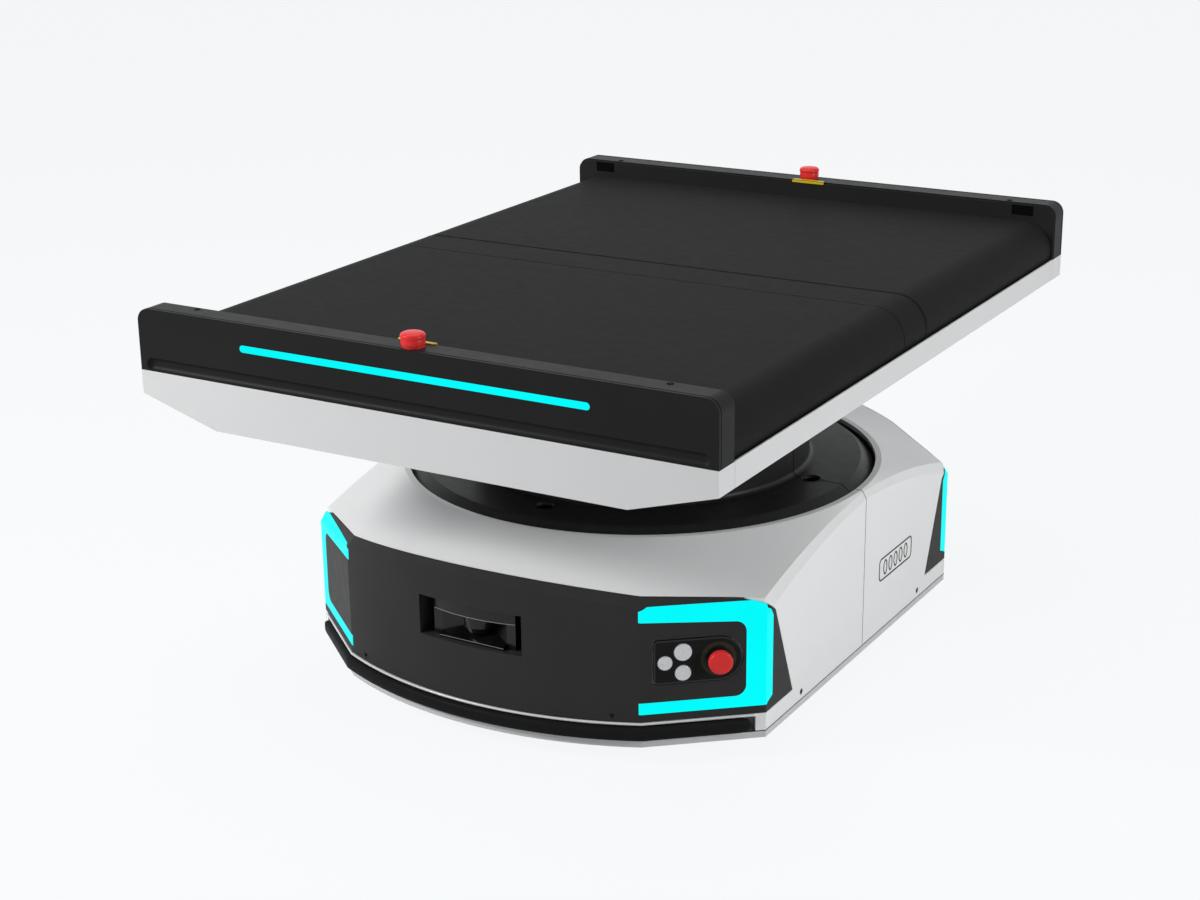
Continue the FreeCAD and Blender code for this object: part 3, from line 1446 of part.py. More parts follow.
def level_edges(level, row):
    """Edges of one level, from the +X side round the nose to the -X side."""
    middle, corner, end, nose = row
    left = [across_nose(point) for point in row]
    edges = []
    if level == 0:
        edges.append(Part.LineSegment(middle, corner).toShape())
    else:
        edges.append(Part.Arc(middle, bowed(middle, corner, level), corner).toShape())
    if level == 3:
        edges.append(Part.Arc(corner, bowed(corner, end, 3), end).toShape())
    else:
        edges.append(Part.LineSegment(corner, end).toShape())
    edges.append(Part.Arc(end, nose, left[2]).toShape())
    if level == 3:
        edges.append(Part.Arc(left[2], bowed(left[2], left[1], 3), left[1]).toShape())
    else:
        edges.append(Part.LineSegment(left[2], left[1]).toShape())
    if level == 0:
        edges.append(Part.LineSegment(left[1], left[0]).toShape())
    else:
        edges.append(Part.Arc(left[1], bowed(left[0], left[1], level), left[0]).toShape())
    return edges


def cover_form(name, inset="0", sink=0):
    """Closed solid under the front half of the base's cover."""
    points = cover_levels(inset, sink)
    rows = [level_edges(level, row) for level, row in enumerate(points)]
    faces = []
    for low, high in zip(rows, rows[1:]):
        for below, above in zip(low, high):
            faces.append(Part.makeRuledSurface(below, above))
    for level in (0, 3):
        chord = Part.LineSegment(across_nose(points[level][0]), points[level][0]).toShape()
        faces.append(Part.Face(Part.Wire(rows[level] + [chord])))
    right = [row[0] for row in points]
    left = [across_nose(point) for point in reversed(right)]
    faces.append(Part.Face(Part.makePolygon(right + left + right[:1])))
    skin = Part.makeShell(faces)
    skin.sewShape()
    item = doc.addObject("Part::Feature", name)
    item.Shape = Part.Solid(skin)
    return item


def make_side_mask(name, gap):
    """Prism that holds the fascia: above its lower edge and in front of its slanted side edges."""
    body = new_body(name)
    slant = "((fascia_side_top - fascia_side_bottom)/(crease_corner - fascia_bottom))"
    low = "(fascia_bottom - (%s))" % gap
    high = "(rim_height + 8)"
    step = "(%s)*1.1" % gap
    low_along = "(fascia_side_bottom - %s + (%s - fascia_bottom)*%s)" % (step, low, slant)
    turn = "(brow_corner - 1.6*fascia_corner)"
    turn_along = "(fascia_side_bottom - %s + (%s - fascia_bottom)*%s)" % (step, turn, slant)
    outline = [
        ("-1.2*nose_reach", low),
        ("-" + low_along, low),
        ("-" + turn_along, turn),
    ]
    for back, drop in ((0.7, 0.7), (0, 0.25), (-0.8, -0.1)):
        along = "-(half_side - %g*fascia_corner - %s)" % (back, step)
        outline.append((along, "brow_corner - %g*fascia_corner + (%s)" % (drop, gap)))
    outline += [("-(half_side + 0.8*fascia_corner - %s)" % step, high), ("-1.2*nose_reach", high)]
    add_pad(body, "YZ", "-half_base - 5", "half_base + 5", outline)
    return body


def on_facet(item):
    """Move an item drawn at the start of the facet to the facet beside the nose at +X."""
    place(item, "facet_end_across", "-facet_end_along", "0", turn="facet_turn")
    return item


def make_light_mask(gap):
    """C-shaped prism on the facet, with its turn round the corner."""
    face = new_body("light_face")
    tip = "(light_start - (%s))" % gap
    bar = "(light_bar_start - (%s))" % gap
    end = "(facet_length + 2)"
    top, top_corner = "light_arm_top + (%s)" % gap, "light_arm_top_corner + (%s)" % gap
    inner, inner_corner = "light_arm_inner - (%s)" % gap, "light_arm_inner_corner - (%s)" % gap
    foot, foot_inner = "light_foot - (%s)" % gap, "light_foot_inner + (%s)" % gap
    radius = "light_inner_radius"
    outline = [
        (tip, foot),
        (end, foot),
        (end, top_corner + " - 0.35*light_wrap"),
        (end + " - 0.5*light_wrap", top_corner + " - 0.08*light_wrap"),
        (end + " - 1.2*light_wrap", top_corner),
        ("%s + 1.4*light_tip_chamfer" % tip, top),
        (tip, "%s - 0.6*light_tip_chamfer" % top),
        (tip, inner),
        ("%s - %s" % (bar, radius), inner_corner),
        (bar, "%s - %s" % (inner_corner, radius), radius, -1),
        (bar, "%s + %s" % (foot_inner, radius)),
        ("%s - %s" % (bar, radius), foot_inner, radius, -1),
        (tip, foot_inner),
    ]
    add_pad(face, "XZ", "-5", "brow_inset + fascia_thickness + 2", outline)
    turn = new_body("light_turn")
    near = "-(half_side - light_wrap - (%s))" % gap
    corner = "-(half_side + 1)"
    side = [
        (corner, foot),
        (near, "%s + 0.4*light_wrap" % foot),
        (near, "light_side_top + (%s)" % gap),
        ("%s - 0.4*light_wrap" % near, "light_side_top + 0.6*light_wrap + (%s)" % gap),
        (corner, top_corner + " - 0.35*light_wrap"),
    ]
    add_pad(turn, "YZ", "half_base - 3*fascia_thickness", "half_base + 2", side)
    return fuse(on_facet(face), turn)


def mirror(item, normal):
    """The item reflected in a plane through the column."""
    twin = doc.addObject("Part::Mirroring", "mirror")
    twin.Source = item
    twin.Base = Vector()
    twin.Normal = Vector(*normal)
    return twin


def common(*items):
    item = doc.addObject("Part::MultiCommon", "common")
    item.Shapes = list(items)
    return item


def plate_outline(gap):
    """D-shaped outline of the control plate, grown by a gap."""
    left = "(plate_left - (%s))" % gap
    low, high = "(plate_bottom - (%s))" % gap, "(plate_top + (%s))" % gap
    bend = "(plate_right - plate_round)"
    radius, small = "(plate_round + (%s))" % gap, "plate_corner_radius"
    return [
        ("%s + %s" % (left, small), low, small, 1),
        (bend, low),
        ("%s + %s" % (bend, radius), "plate_middle", radius, 1),
        (bend, high, radius, 1),
        ("%s + %s" % (left, small), high),
        (left, "%s - %s" % (high, small), small, 1),
        (left, "%s + %s" % (low, small)),
    ]


def make_plate_opening(gap, depth):
    body = new_body("plate_opening")
    add_pad(body, "XZ", "-5", depth, plate_outline(gap))
    return on_facet(body)


def window_block(gap, depth):
    """The scanner window's tunnel as a solid, grown by a gap."""
    half = "(window_width/2 + (%s))" % gap
    low, high = "window_bottom - (%s)" % gap, "window_top + (%s)" % gap
    return block("-" + half, half, "-nose_reach - 5", "-nose_reach + " + depth, low, high)


def fascia_screws(radius, depth):
    """Screws along the fascia's foot, driven towards +Y."""
    low = "-nose_reach"
    return [
        rod("Y", radius, low, "%s + (%s)" % (low, depth), sign + "fascia_screw_across", "fascia_screw_height")
        for sign in ("", "-")
    ]


def side_screws(radius, low, high):
    """Screws low on the side walls, driven along X."""
    rods = []
    for sign in (1, -1):
        near, far = side_span(sign, low, high)
        rods.append(rod("X", radius, near, far, "-side_screw_along", "side_screw_height"))
    return rods


def make_bumper_recess(name):
    """Prism that clears the shell away behind the bumper."""
    body = new_body(name)
    spare = "(bumper_end - bumper_travel - 1)"
    outside, inside = facet_spot(spare, "-30"), facet_spot(spare, "4*skirt_inset")
    outline = [
        outside,
        inside,
        ("-(%s)" % inside[0], inside[1]),
        ("-(%s)" % outside[0], outside[1]),
        ("-(%s)" % outside[0], "-1.2*nose_reach"),
        (outside[0], "-1.2*nose_reach"),
    ]
    add_pad(body, "XY", "shell_bottom - 2", "ledge_bottom", outline)
    return body


def facet_spot(from_corner, inset):
    """A point on the front facet at +X, measured from the corner, moved inwards."""
    x_text = "half_base - (%s)*facet_run/facet_length - (%s)*facet_nx" % (from_corner, inset)
    y_text = "-(half_side + (%s)*facet_rise/facet_length - (%s)*facet_ny)" % (from_corner, inset)
    return x_text, y_text


outer_form = cover_form("outer_form")
inner_form = cover_form("inner_form", "shell_thickness")
layer_form = cover_form("layer_form", "fascia_thickness")
pocket_form = cover_form("pocket_form", "fascia_thickness + fascia_gap")
fascia_form = cover_form("fascia_form", "0", 70)
pocket_top_form = cover_form("pocket_top_form", "-1", 70)
half_seam = block("-half_base - 1", "half_base + 1", "-seam_gap/2", "seam_gap", "0", "rim_height + 1")
rim_hole = rod("Z", "rim_radius - rim_width", "ledge_bottom", "rim_height + 1", "0", "0")
bumper_recess = make_bumper_recess("bumper_recess")
fascia_pocket = cut(common(pocket_top_form, make_side_mask("pocket_mask", "fascia_edge_gap")), pocket_form)
fascia_mask = make_side_mask("fascia_mask", "0")


def light_masks(gap):
    right = make_light_mask(gap)
    return fuse(right, mirror(right, (1, 0, 0)))


def make_shell(front):
    tools = [inner_form, fascia_pocket, half_seam, rim_hole, bumper_recess]
    tools += side_screws("screw_radius + screw_gap", "half_base - shell_thickness - 1", "half_base + 1")
    tools += fascia_screws("screw_radius + screw_gap", "3*skirt_inset")
    if front:
        tools.append(window_block("window_wall + fascia_gap", "window_depth + 3"))
        tools.append(make_plate_opening("0", "2*shell_thickness"))
    shell = outer_form
    for tool in tools:
        shell = cut(shell, tool)
    return shell


def make_fascia(front):
    fascia = cut(common(fascia_form, fascia_mask), layer_form)
    fascia = cut(fascia, light_masks("light_clearance"))
    for tool in fascia_screws("screw_radius + screw_gap", "3*skirt_inset"):
        fascia = cut(fascia, tool)
    if front:
        fascia = cut(fascia, window_block("0", "window_depth"))
        fascia = cut(fascia, make_plate_opening("plate_gap", "2*shell_thickness"))
        tunnel = cut(window_block("window_wall", "window_depth"), window_block("0", "window_depth + 1"))
        fascia = fuse(fascia, common(outer_form, tunnel))
    return fascia


def make_corner_lights():
    """Four light guides: a front pair and the same pair at the rear."""
    front = common(cut(outer_form, layer_form), light_masks("0"), fascia_mask)
    return group(front, mirror(front, (0, 1, 0)))


def turned_round(item):
    place(item, turn="180")
    return item


keep("shell_front", make_shell(True))
keep("shell_rear", turned_round(make_shell(False)))
keep("fascia_front", make_fascia(True))
keep("fascia_rear", turned_round(make_fascia(False)))
keep("corner_lights", make_corner_lights())


# ---------------------------------------------------------------- bumpers


def make_bumper(name):
    """Rubber strip round the nose on two guide pins."""
    body = new_body(name + "_strip")
    outer, inner = "-bumper_proud", "bumper_depth - bumper_proud"
    outline = []
    for inset, turn in ((outer, -1), (inner, 1)):
        _, _, across, along, radius = base_corners(inset)
        tip = facet_spot("bumper_end", inset)
        right = [tip, (across, "-" + along)]
        left = [("-" + across, "-" + along, radius, -1), ("-(%s)" % tip[0], tip[1])]
        if turn > 0:
            left = [("-(%s)" % tip[0], tip[1]), ("-" + across, "-" + along)]
            right = [(across, "-" + along, radius, 1), tip]
            outline += left + right
        else:
            outline += right + left
    add_pad(body, "XY", "bumper_bottom", "bumper_top", outline)
    soften(body, "pan_thickness", upright_tip)
    pins = [
        rod("Y", "bumper_pin_radius", "-nose_reach + bumper_depth", "-nose_reach + 3.5*skirt_inset",
            sign + "bumper_pin_spacing/2", "(bumper_bottom + bumper_top)/2")
        for sign in ("", "-")
    ]
    return fuse(body, *pins)


def upright_tip(edge):
    """Upright edges at the ends of a bumper strip."""
    return upright(edge) and abs(edge.Vertexes[0].X) > number("half_base - 4*bumper_end/2")


keep("bumper_front", make_bumper("bumper_front"))
keep("bumper_rear", rear_copy(make_bumper, "bumper_rear"))


# ---------------------------------------------------------------- control plate and its buttons


BUTTONS = (
    ("start_button", "upper_button"),
    ("power_button", "side_button"),
    ("reset_button", "lower_button"),
)


def make_control_plate(name):
    body = new_body(name)
    face = "-seam_gap"
    holes = [("stop_across", "stop_height", "stop_neck_radius + screw_gap")]
    for _, word in BUTTONS:
        holes.append((word + "_across", word + "_height", word + "_radius + button_gap"))
    add_pad(body, "XZ", face, face + " + plate_thickness", plate_outline("0"), *holes)
    return on_facet(body)


def make_button(name, word):
    """Cap with a collar behind the plate."""
    body = new_body(name)
    across, height, radius = word + "_across", word + "_height", word + "_radius"
    behind = "(plate_thickness - seam_gap + ring_gap)"
    add_pad(body, "XZ", "-seam_gap - button_proud", behind, (across, height, radius))
    soften(body, "button_flange/2", front_rim)
    add_pad(body, "XZ", behind, behind + " + button_flange", (across, height, radius + " + button_flange"))
    return on_facet(body)


def front_rim(edge):
    """Circle on the cap's outer face, in the cap's own frame."""
    return abs(edge.BoundBox.YMax + number("seam_gap + button_proud")) < 1e-6


def make_base_stop_head(name):
    body = new_body(name)
    centre = ("stop_across", "stop_height")
    under = "-(seam_gap + liner_thickness + stop_travel + ring_gap)"
    front = under + " - stop_head_height"
    add_pad(body, "XZ", front, under, centre + ("stop_head_radius",))
    soften(body, "button_flange", head_rim)
    add_pad(body, "XZ", under, under + " + 2.5*stop_head_height", centre + ("stop_stem_radius",))
    return on_facet(body)


def head_rim(edge):
    """Circle on the head's outer face, in the head's own frame."""
    front = number("seam_gap + liner_thickness + stop_travel + ring_gap + stop_head_height")
    return abs(edge.BoundBox.YMax + front) < 1e-6


def make_base_stop_block(name):
    """Collar, threaded neck and contact block."""
    body = new_body(name)
    centre = ("stop_across", "stop_height")
    face = "(-seam_gap)"
    behind = "(plate_thickness - seam_gap)"
    end = behind + " + stop_block_depth"
    add_pad(body, "XZ", face + " - liner_thickness", face, centre + ("stop_collar_radius",))
    add_pad(body, "XZ", face, behind, centre + ("stop_neck_radius",))
    half = "stop_block/2"
    square = box_outline("stop_across - " + half, "stop_across + " + half, "stop_height - " + half,
                         "stop_height + " + half)
    add_pad(body, "XZ", behind, end, square)
    bore = centre + ("stop_stem_radius + bumper_pin_gap",)
    add_pocket(body, "XZ", face + " - liner_thickness", behind + " + 2.2*stop_head_height", bore)
    return on_facet(body)


keep("control_plate", make_control_plate("control_plate"))
for name, word in BUTTONS:
    keep(name, make_button(name, word))
keep("base_stop_head", make_base_stop_head("base_stop_head"))
keep("base_stop_block", make_base_stop_block("base_stop_block"))


# ---------------------------------------------------------------- laser scanner and screws


def make_scanner():
    """Foot, cheeks, bowed hood, round optical head and sloped deflector."""
    front = "(-scanner_front)"
    tunnel_end = "(-nose_reach + window_depth + ring_gap)"
    back = tunnel_end + " + scanner_length"
    low = "(window_bottom + ring_gap)"
    hood_top = "(window_top - window_wall)"
    hood_low = "(%s - hood_depth)" % hood_top
    throat = "(%s + 1.2*scanner_head_radius)" % front
    mouth = "(%s + hood_sweep)" % front
    cheeks = new_body("scanner_cheeks")
    outline = [
        ("-hood_half", mouth),
        ("-deflector_half", mouth),
        ("-0.8*scanner_head_radius", throat),
        ("0.8*scanner_head_radius", throat),
        ("deflector_half", mouth),
        ("hood_half", mouth),
        ("hood_half", back),
        ("-hood_half", back),
    ]
    add_pad(cheeks, "XY", low, hood_low + " + 1", outline)
    bow = "((hood_half^2 + hood_sweep^2)/(2*hood_sweep))"
    hood = common(
        block("-hood_half", "hood_half", front, back, hood_low, hood_top),
        rod("Z", bow, hood_low, hood_top, "0", "%s + %s" % (front, bow)),
    )
    head = new_body("scanner_head")
    tip = "(window_bottom + 0.35*scanner_head_radius)"
    shares = ((0, 0), (0.45, 0.06), (0.8, 0.3), (0.97, 0.65), (1, 1))
    side = [("%g*scanner_head_radius" % r, "%s + %g*scanner_head_radius" % (tip, h)) for r, h in shares]
    add_turned(head, side + [("scanner_head_radius", hood_low + " + 1"), ("0", hood_low + " + 1")])
    place(head, "0", front + " + scanner_head_radius", "0")
    deflector = new_body("scanner_deflector")
    wedge = [
        (front, low),
        (front, low + " + deflector_edge"),
        (throat, low + " + deflector_edge + deflector_rise"),
        (throat + " + 2", low + " + deflector_edge + deflector_rise"),
        (throat + " + 2", low),
    ]
    add_pad(deflector, "YZ", "-deflector_half", "deflector_half", wedge)
    foot = block("-scanner_width/2", "scanner_width/2", tunnel_end, back, "deck_plate_top", hood_top)
    return fuse(foot, cheeks, hood, head, deflector)


def make_screws():
    """Socket screws of the fascias and the side walls."""
    screws = []
    socket = "screw_radius/2"
    depth = "3*screw_radius"
    for sign in ("", "-"):
        x_text = sign + "fascia_screw_across"
        half = "(nose_radius^2 - fascia_screw_across^2)"
        face = "(nose_reach - nose_radius + sqrt%s)" % half
        head = rod("Y", "screw_radius", "-%s + 1" % face, "-%s + %s" % (face, depth), x_text, "fascia_screw_height")
        hollow = rod("Y", socket, "-%s" % face, "-%s + 1 + %s" % (face, socket), x_text, "fascia_screw_height")
        screws.append(cut(head, hollow))
    for sign in (1, -1):
        near, far = side_span(sign, "half_base - " + depth, "half_base - 0.5")
        head = rod("X", "screw_radius", near, far, "-side_screw_along", "side_screw_height")
        near, far = side_span(sign, "half_base - 0.5 - " + socket, "half_base")
        hollow = rod("X", socket, near, far, "-side_screw_along", "side_screw_height")
        screws.append(cut(head, hollow))
    rear = [mirror(screw, (0, 1, 0)) for screw in screws]
    return group(*screws, *rear)


keep("laser_scanner", make_scanner())
keep("cover_screws", make_screws())


# ---------------------------------------------------------------- check and write


def check_document():
    doc.recompute()
    for item in doc.Objects:
        if "Invalid" in item.State or "Error" in item.State:
            raise RuntimeError("failed: %s %s" % (item.Name, item.State))
    for item in nodes:
        if item.Shape.isNull() or not item.Shape.isValid():
            raise RuntimeError("bad shape: " + item.Label)
    if len(nodes) > 60:
        raise RuntimeError("too many sub-parts")


check_document()
os.makedirs("parts", exist_ok=True)
for item in nodes:
    item.Shape.exportStep("parts/%s.step" % item.Label)
print("%d sub-parts written" % len(nodes))
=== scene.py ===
import math

import bmesh
import bpy
from mathutils import Matrix, Vector


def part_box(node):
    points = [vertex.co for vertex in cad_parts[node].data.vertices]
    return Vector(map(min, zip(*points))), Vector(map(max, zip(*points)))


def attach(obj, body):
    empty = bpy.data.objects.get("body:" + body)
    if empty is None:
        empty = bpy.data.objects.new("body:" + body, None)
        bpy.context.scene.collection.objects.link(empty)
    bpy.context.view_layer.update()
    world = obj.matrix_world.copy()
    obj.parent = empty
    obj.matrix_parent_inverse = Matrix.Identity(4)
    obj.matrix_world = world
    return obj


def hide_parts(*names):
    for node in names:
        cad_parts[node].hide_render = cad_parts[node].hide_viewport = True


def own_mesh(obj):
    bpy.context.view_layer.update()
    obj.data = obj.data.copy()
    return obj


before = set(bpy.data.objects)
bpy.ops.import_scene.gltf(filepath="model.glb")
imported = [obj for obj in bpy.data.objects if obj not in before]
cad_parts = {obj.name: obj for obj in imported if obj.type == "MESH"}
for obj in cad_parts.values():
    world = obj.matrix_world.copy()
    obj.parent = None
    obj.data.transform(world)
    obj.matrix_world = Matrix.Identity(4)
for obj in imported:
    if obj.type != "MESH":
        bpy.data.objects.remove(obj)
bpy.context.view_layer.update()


# ---------------------------------------------------------------- material kit

NOISE_LOW, NOISE_HIGH = 0.35, 0.65  # nearly all of a noise lies between them
PATCH_SCALE, GLOSS_SCALE, LENS_SCALE = 9, 63, 14
LENS_DIM = 0.96
COLOUR_A, COLOUR_B, COLOUR_OUT = 6, 7, 2  # the Mix node's colour sockets


def new_material(name):
    mat = bpy.data.materials.new(name)
    mat.use_nodes = True
    return mat, mat.node_tree, mat.node_tree.nodes["Principled BSDF"]


def coords(tree):
    return tree.nodes.new("ShaderNodeTexCoord").outputs["Object"]


def noise(tree, vector, scale, detail=3.0):
    node = tree.nodes.new("ShaderNodeTexNoise")
    node.inputs["Scale"].default_value = scale
    node.inputs["Detail"].default_value = detail
    tree.links.new(vector, node.inputs["Vector"])
    return node.outputs["Fac"]


def remap(tree, value, low, high):
    """The range of a noise stretched to run from low to high."""
    node = tree.nodes.new("ShaderNodeMapRange")
    node.inputs["From Min"].default_value = NOISE_LOW
    node.inputs["From Max"].default_value = NOISE_HIGH
    node.inputs["To Min"].default_value = low
    node.inputs["To Max"].default_value = high
    tree.links.new(value, node.inputs["Value"])
    return node.outputs["Result"]


def blend_colours(tree, factor, first, second):
    node = tree.nodes.new("ShaderNodeMix")
    node.data_type = "RGBA"
    tree.links.new(factor, node.inputs["Factor"])
    node.inputs[COLOUR_A].default_value = (*first, 1)
    node.inputs[COLOUR_B].default_value = (*second, 1)
    return node.outputs[COLOUR_OUT]


def add_bump(tree, bsdf, height, distance):
    node = tree.nodes.new("ShaderNodeBump")
    node.inputs["Distance"].default_value = distance
    tree.links.new(height, node.inputs["Height"])
    tree.links.new(node.outputs["Normal"], bsdf.inputs["Normal"])


def surface(name, colour, roughness, spread=0.08, grain=900, bump=0.00002, metallic=0.0, coat=0.0,
            specular=0.5, rough_spread=0.06):
    """Moulded or painted surface: slow tone changes, a fine grain in the bump and uneven gloss."""
    mat, tree, bsdf = new_material(name)
    place = coords(tree)
    slow = noise(tree, place, PATCH_SCALE)
    low = [c * (1 - spread) for c in colour]
    high = [min(1.0, c * (1 + spread)) for c in colour]
    tree.links.new(blend_colours(tree, remap(tree, slow, 0, 1), low, high), bsdf.inputs["Base Color"])
    gloss = noise(tree, place, GLOSS_SCALE, 4)
    uneven = remap(tree, gloss, roughness - rough_spread, roughness + rough_spread)
    tree.links.new(uneven, bsdf.inputs["Roughness"])
    bsdf.inputs["Metallic"].default_value = metallic
    bsdf.inputs["Coat Weight"].default_value = coat
    bsdf.inputs["Specular IOR Level"].default_value = specular
    add_bump(tree, bsdf, noise(tree, place, grain, 2), bump)
    return mat


def lamp_surface(name, colour, strength):
    """Light guide: a lit core behind a faintly uneven lens."""
    mat, tree, bsdf = new_material(name)
    place = coords(tree)
    slow = remap(tree, noise(tree, place, LENS_SCALE), 0, 1)
    dim = [c * LENS_DIM for c in colour]
    tree.links.new(blend_colours(tree, slow, dim, colour), bsdf.inputs["Emission Color"])
    bsdf.inputs["Emission Strength"].default_value = strength
    bsdf.inputs["Base Color"].default_value = (0.0, 0.0, 0.0, 1)
    bsdf.inputs["Specular IOR Level"].default_value = 0.02
    bsdf.inputs["Roughness"].default_value = 0.35
    return mat


def paint(node, material):
    """The CAD node's slots all take this material."""
    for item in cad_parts[node].material_slots:
        item.material = material


# ---------------------------------------------------------------- materials

belt_mat = surface(
    "belt", (0.0165, 0.0165, 0.0167), 0.50, spread=0.02, grain=1400, bump=0.00001, specular=0.01,
    rough_spread=0.02)
strip_mat = surface(
    "strip", (0.0165, 0.0165, 0.0167), 0.50, spread=0.02, bump=0.00001, specular=0.01,
    rough_spread=0.02)
guard_mat = surface(
    "guard", (0.0165, 0.0165, 0.0168), 0.40, spread=0.04, grain=1800, specular=0.045, rough_spread=0.02)
liner_mat = surface("liner", (0.019, 0.019, 0.0192), 0.45, spread=0.04, specular=0.04, rough_spread=0.02)
tray_mat = surface(
    "tray", (0.66, 0.66, 0.66), 0.42, spread=0.008, grain=1100, specular=0.25, rough_spread=0.008)
shell_mat = surface(
    "shell", (0.80, 0.80, 0.80), 0.34, spread=0.006, grain=1300, bump=0.000008, specular=0.25,
    rough_spread=0.006)
plinth_mat = surface("plinth", (0.55, 0.55, 0.555), 0.42, spread=0.02)
fascia_mat = surface(
    "fascia", (0.030, 0.0295, 0.0295), 0.46, spread=0.04, grain=1500, specular=0.06, rough_spread=0.02)
cover_mat = surface("cover", (0.012, 0.012, 0.0122), 0.38, spread=0.05, specular=0.15, rough_spread=0.02)
rubber_mat = surface("bumper_rubber", (0.011, 0.011, 0.0112), 0.48, spread=0.05, specular=0.03)
cyan_mat = lamp_surface("cyan_light", (0.0, 0.98, 0.99), 1.0)
red_mat = surface(
    "stop_red", (0.72, 0.030, 0.030), 0.30, spread=0.02, bump=0.000004, specular=0.15,
    rough_spread=0.02)
silver_mat = surface(
    "silver_cap", (0.62, 0.63, 0.64), 0.30, spread=0.02, metallic=0.15, bump=0.000005, specular=0.4)
black_mat = surface("black_moulding", (0.007, 0.007, 0.0075), 0.40, specular=0.15)
# Painted shade: near-black for the strips over the guard grooves, belt gaps and tray rims, and for the wells
# in the disc holes; also the own black of the sensor windows, guard screws and cover seam lines.
shadow_black_mat = surface("shadow_black", (0.0015, 0.0015, 0.0016), 0.8, specular=0.05)
seam_mat = surface("seam_grey", (0.028, 0.028, 0.029), 0.6, specular=0.1)
bead_mat = surface("bead_grey", (0.62, 0.625, 0.63), 0.26, spread=0.02, coat=0.3)
# Partly painted reflection: the label round the base stop, given the dark olive of a faint reflection instead
# of its own yellow.
label_reflection_mat = surface("olive_label_reflection", (0.030, 0.028, 0.012), 0.5, specular=0.1)
# Painted highlight: a lighter grey for thin tubes along the scanner's edges, for the light those edges catch.
painted_highlight_mat = surface("painted_highlight_edge", (0.22, 0.22, 0.225), 0.25, spread=0.04, metallic=0.3)
plate_mat = surface("plate", (0.010, 0.010, 0.0102), 0.42, specular=0.05)
gloss_black_mat = surface(
    "optics_black", (0.004, 0.004, 0.0045), 0.20, bump=0.000004, specular=0.3, rough_spread=0.02)
yellow_mat = surface("signal_yellow", (0.70, 0.50, 0.012), 0.36, spread=0.03)
steel_mat = surface("steel", (0.42, 0.42, 0.43), 0.34, metallic=1.0, grain=500)
zinc_mat = surface("zinc", (0.50, 0.50, 0.51), 0.38, metallic=1.0, grain=300)
alu_mat = surface("aluminium", (0.55, 0.55, 0.56), 0.40, metallic=1.0, grain=700)
screw_mat = surface("dark_screw", (0.03, 0.03, 0.032), 0.4, metallic=0.8)
motor_mat = surface("motor_paint", (0.03, 0.03, 0.032), 0.45)
tyre_mat = surface("drive_tyre", (0.04, 0.04, 0.042), 0.7, grain=400, bump=0.00005)
tread_mat = surface("castor_tread", (0.06, 0.06, 0.062), 0.6, grain=400)
case_mat = surface("controller_case", (0.20, 0.21, 0.22), 0.5)
battery_mat = surface("battery_case", (0.03, 0.03, 0.033), 0.45)
frame_mat = surface("frame_paint", (0.12, 0.12, 0.125), 0.5)

NODE_MATERIALS = {
    belt_mat: ["belt_front", "belt_rear"],
    strip_mat: ["centre_strip"],
    guard_mat: ["guard_front", "guard_rear"],
    liner_mat: ["guard_liners"],
    tray_mat: ["tray_sides", "tray_ends"],
    shell_mat: ["shell_front", "shell_rear"],
    plinth_mat: ["chassis_frame"],
    fascia_mat: ["fascia_front", "fascia_rear"],
    cover_mat: ["column_cover_front", "column_cover_rear"],
    rubber_mat: ["bumper_front", "bumper_rear", "suspension_buffer_left", "suspension_buffer_right"],
    cyan_mat: ["corner_lights", "light_bars"],
    red_mat: ["base_stop_head", "deck_stop_head_front", "deck_stop_head_rear"],
    silver_mat: ["start_button", "power_button", "reset_button"],
    black_mat: ["base_stop_block", "deck_stop_blocks"],
    shadow_black_mat: ["item_sensors"],
    plate_mat: ["control_plate"],
    gloss_black_mat: ["laser_scanner"],
    steel_mat: ["slewing_ring_outer", "slewing_ring_inner", "turntable_pinion"],
    zinc_mat: [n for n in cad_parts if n.startswith("castor_fork")],
    alu_mat: ["column", "deck_frame", "drum_roller_front", "drum_roller_rear", "idler_roller_front",
              "idler_roller_rear", "suspension_arm_left", "suspension_arm_right"],
    screw_mat: ["cover_screws"],
    motor_mat: ["turntable_motor", "gearmotor_left", "gearmotor_right"],
    tyre_mat: ["drive_wheel_left", "drive_wheel_right"],
    tread_mat: [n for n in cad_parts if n.startswith("castor_wheel")],
    case_mat: ["controller_box"],
    battery_mat: ["battery_pack"],
    frame_mat: ["turntable_frame"],
}
for material, names in NODE_MATERIALS.items():
    for node_name in names:
        paint(node_name, material)


# ---------------------------------------------------------------- mesh kit

MM = 0.001
WELD = 1e-6
SAME_SPOT = 0.01
FLAT_TURN = math.radians(32)
ROUND_STEPS, OVAL_STEPS = 8, 28


def piece(name, mesh, material, body):
    """A finished mesh becomes a piece of the object, riding on a body."""
    mesh.name = name
    mesh.materials.append(material)
    obj = bpy.data.objects.new(name, mesh)
    bpy.context.collection.objects.link(obj)
    mesh.polygons.foreach_set("use_smooth", [True] * len(mesh.polygons))
    mesh.set_sharp_from_angle(angle=FLAT_TURN)
    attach(obj, body)
    return obj


def mesh_from(points, faces, place=None):
    """Points are in millimetres; place moves them into the object's frame."""
    mesh = bpy.data.meshes.new("unnamed")
    moved = [Vector(p) * MM for p in points]
    if place is not None:
        moved = [place @ p for p in moved]
    mesh.from_pydata(moved, [], faces)
    bm = bmesh.new()
    bm.from_mesh(mesh)
    bmesh.ops.remove_doubles(bm, verts=bm.verts, dist=WELD)
    bmesh.ops.recalc_face_normals(bm, faces=bm.faces)
    bm.to_mesh(mesh)
    bm.free()
    return mesh


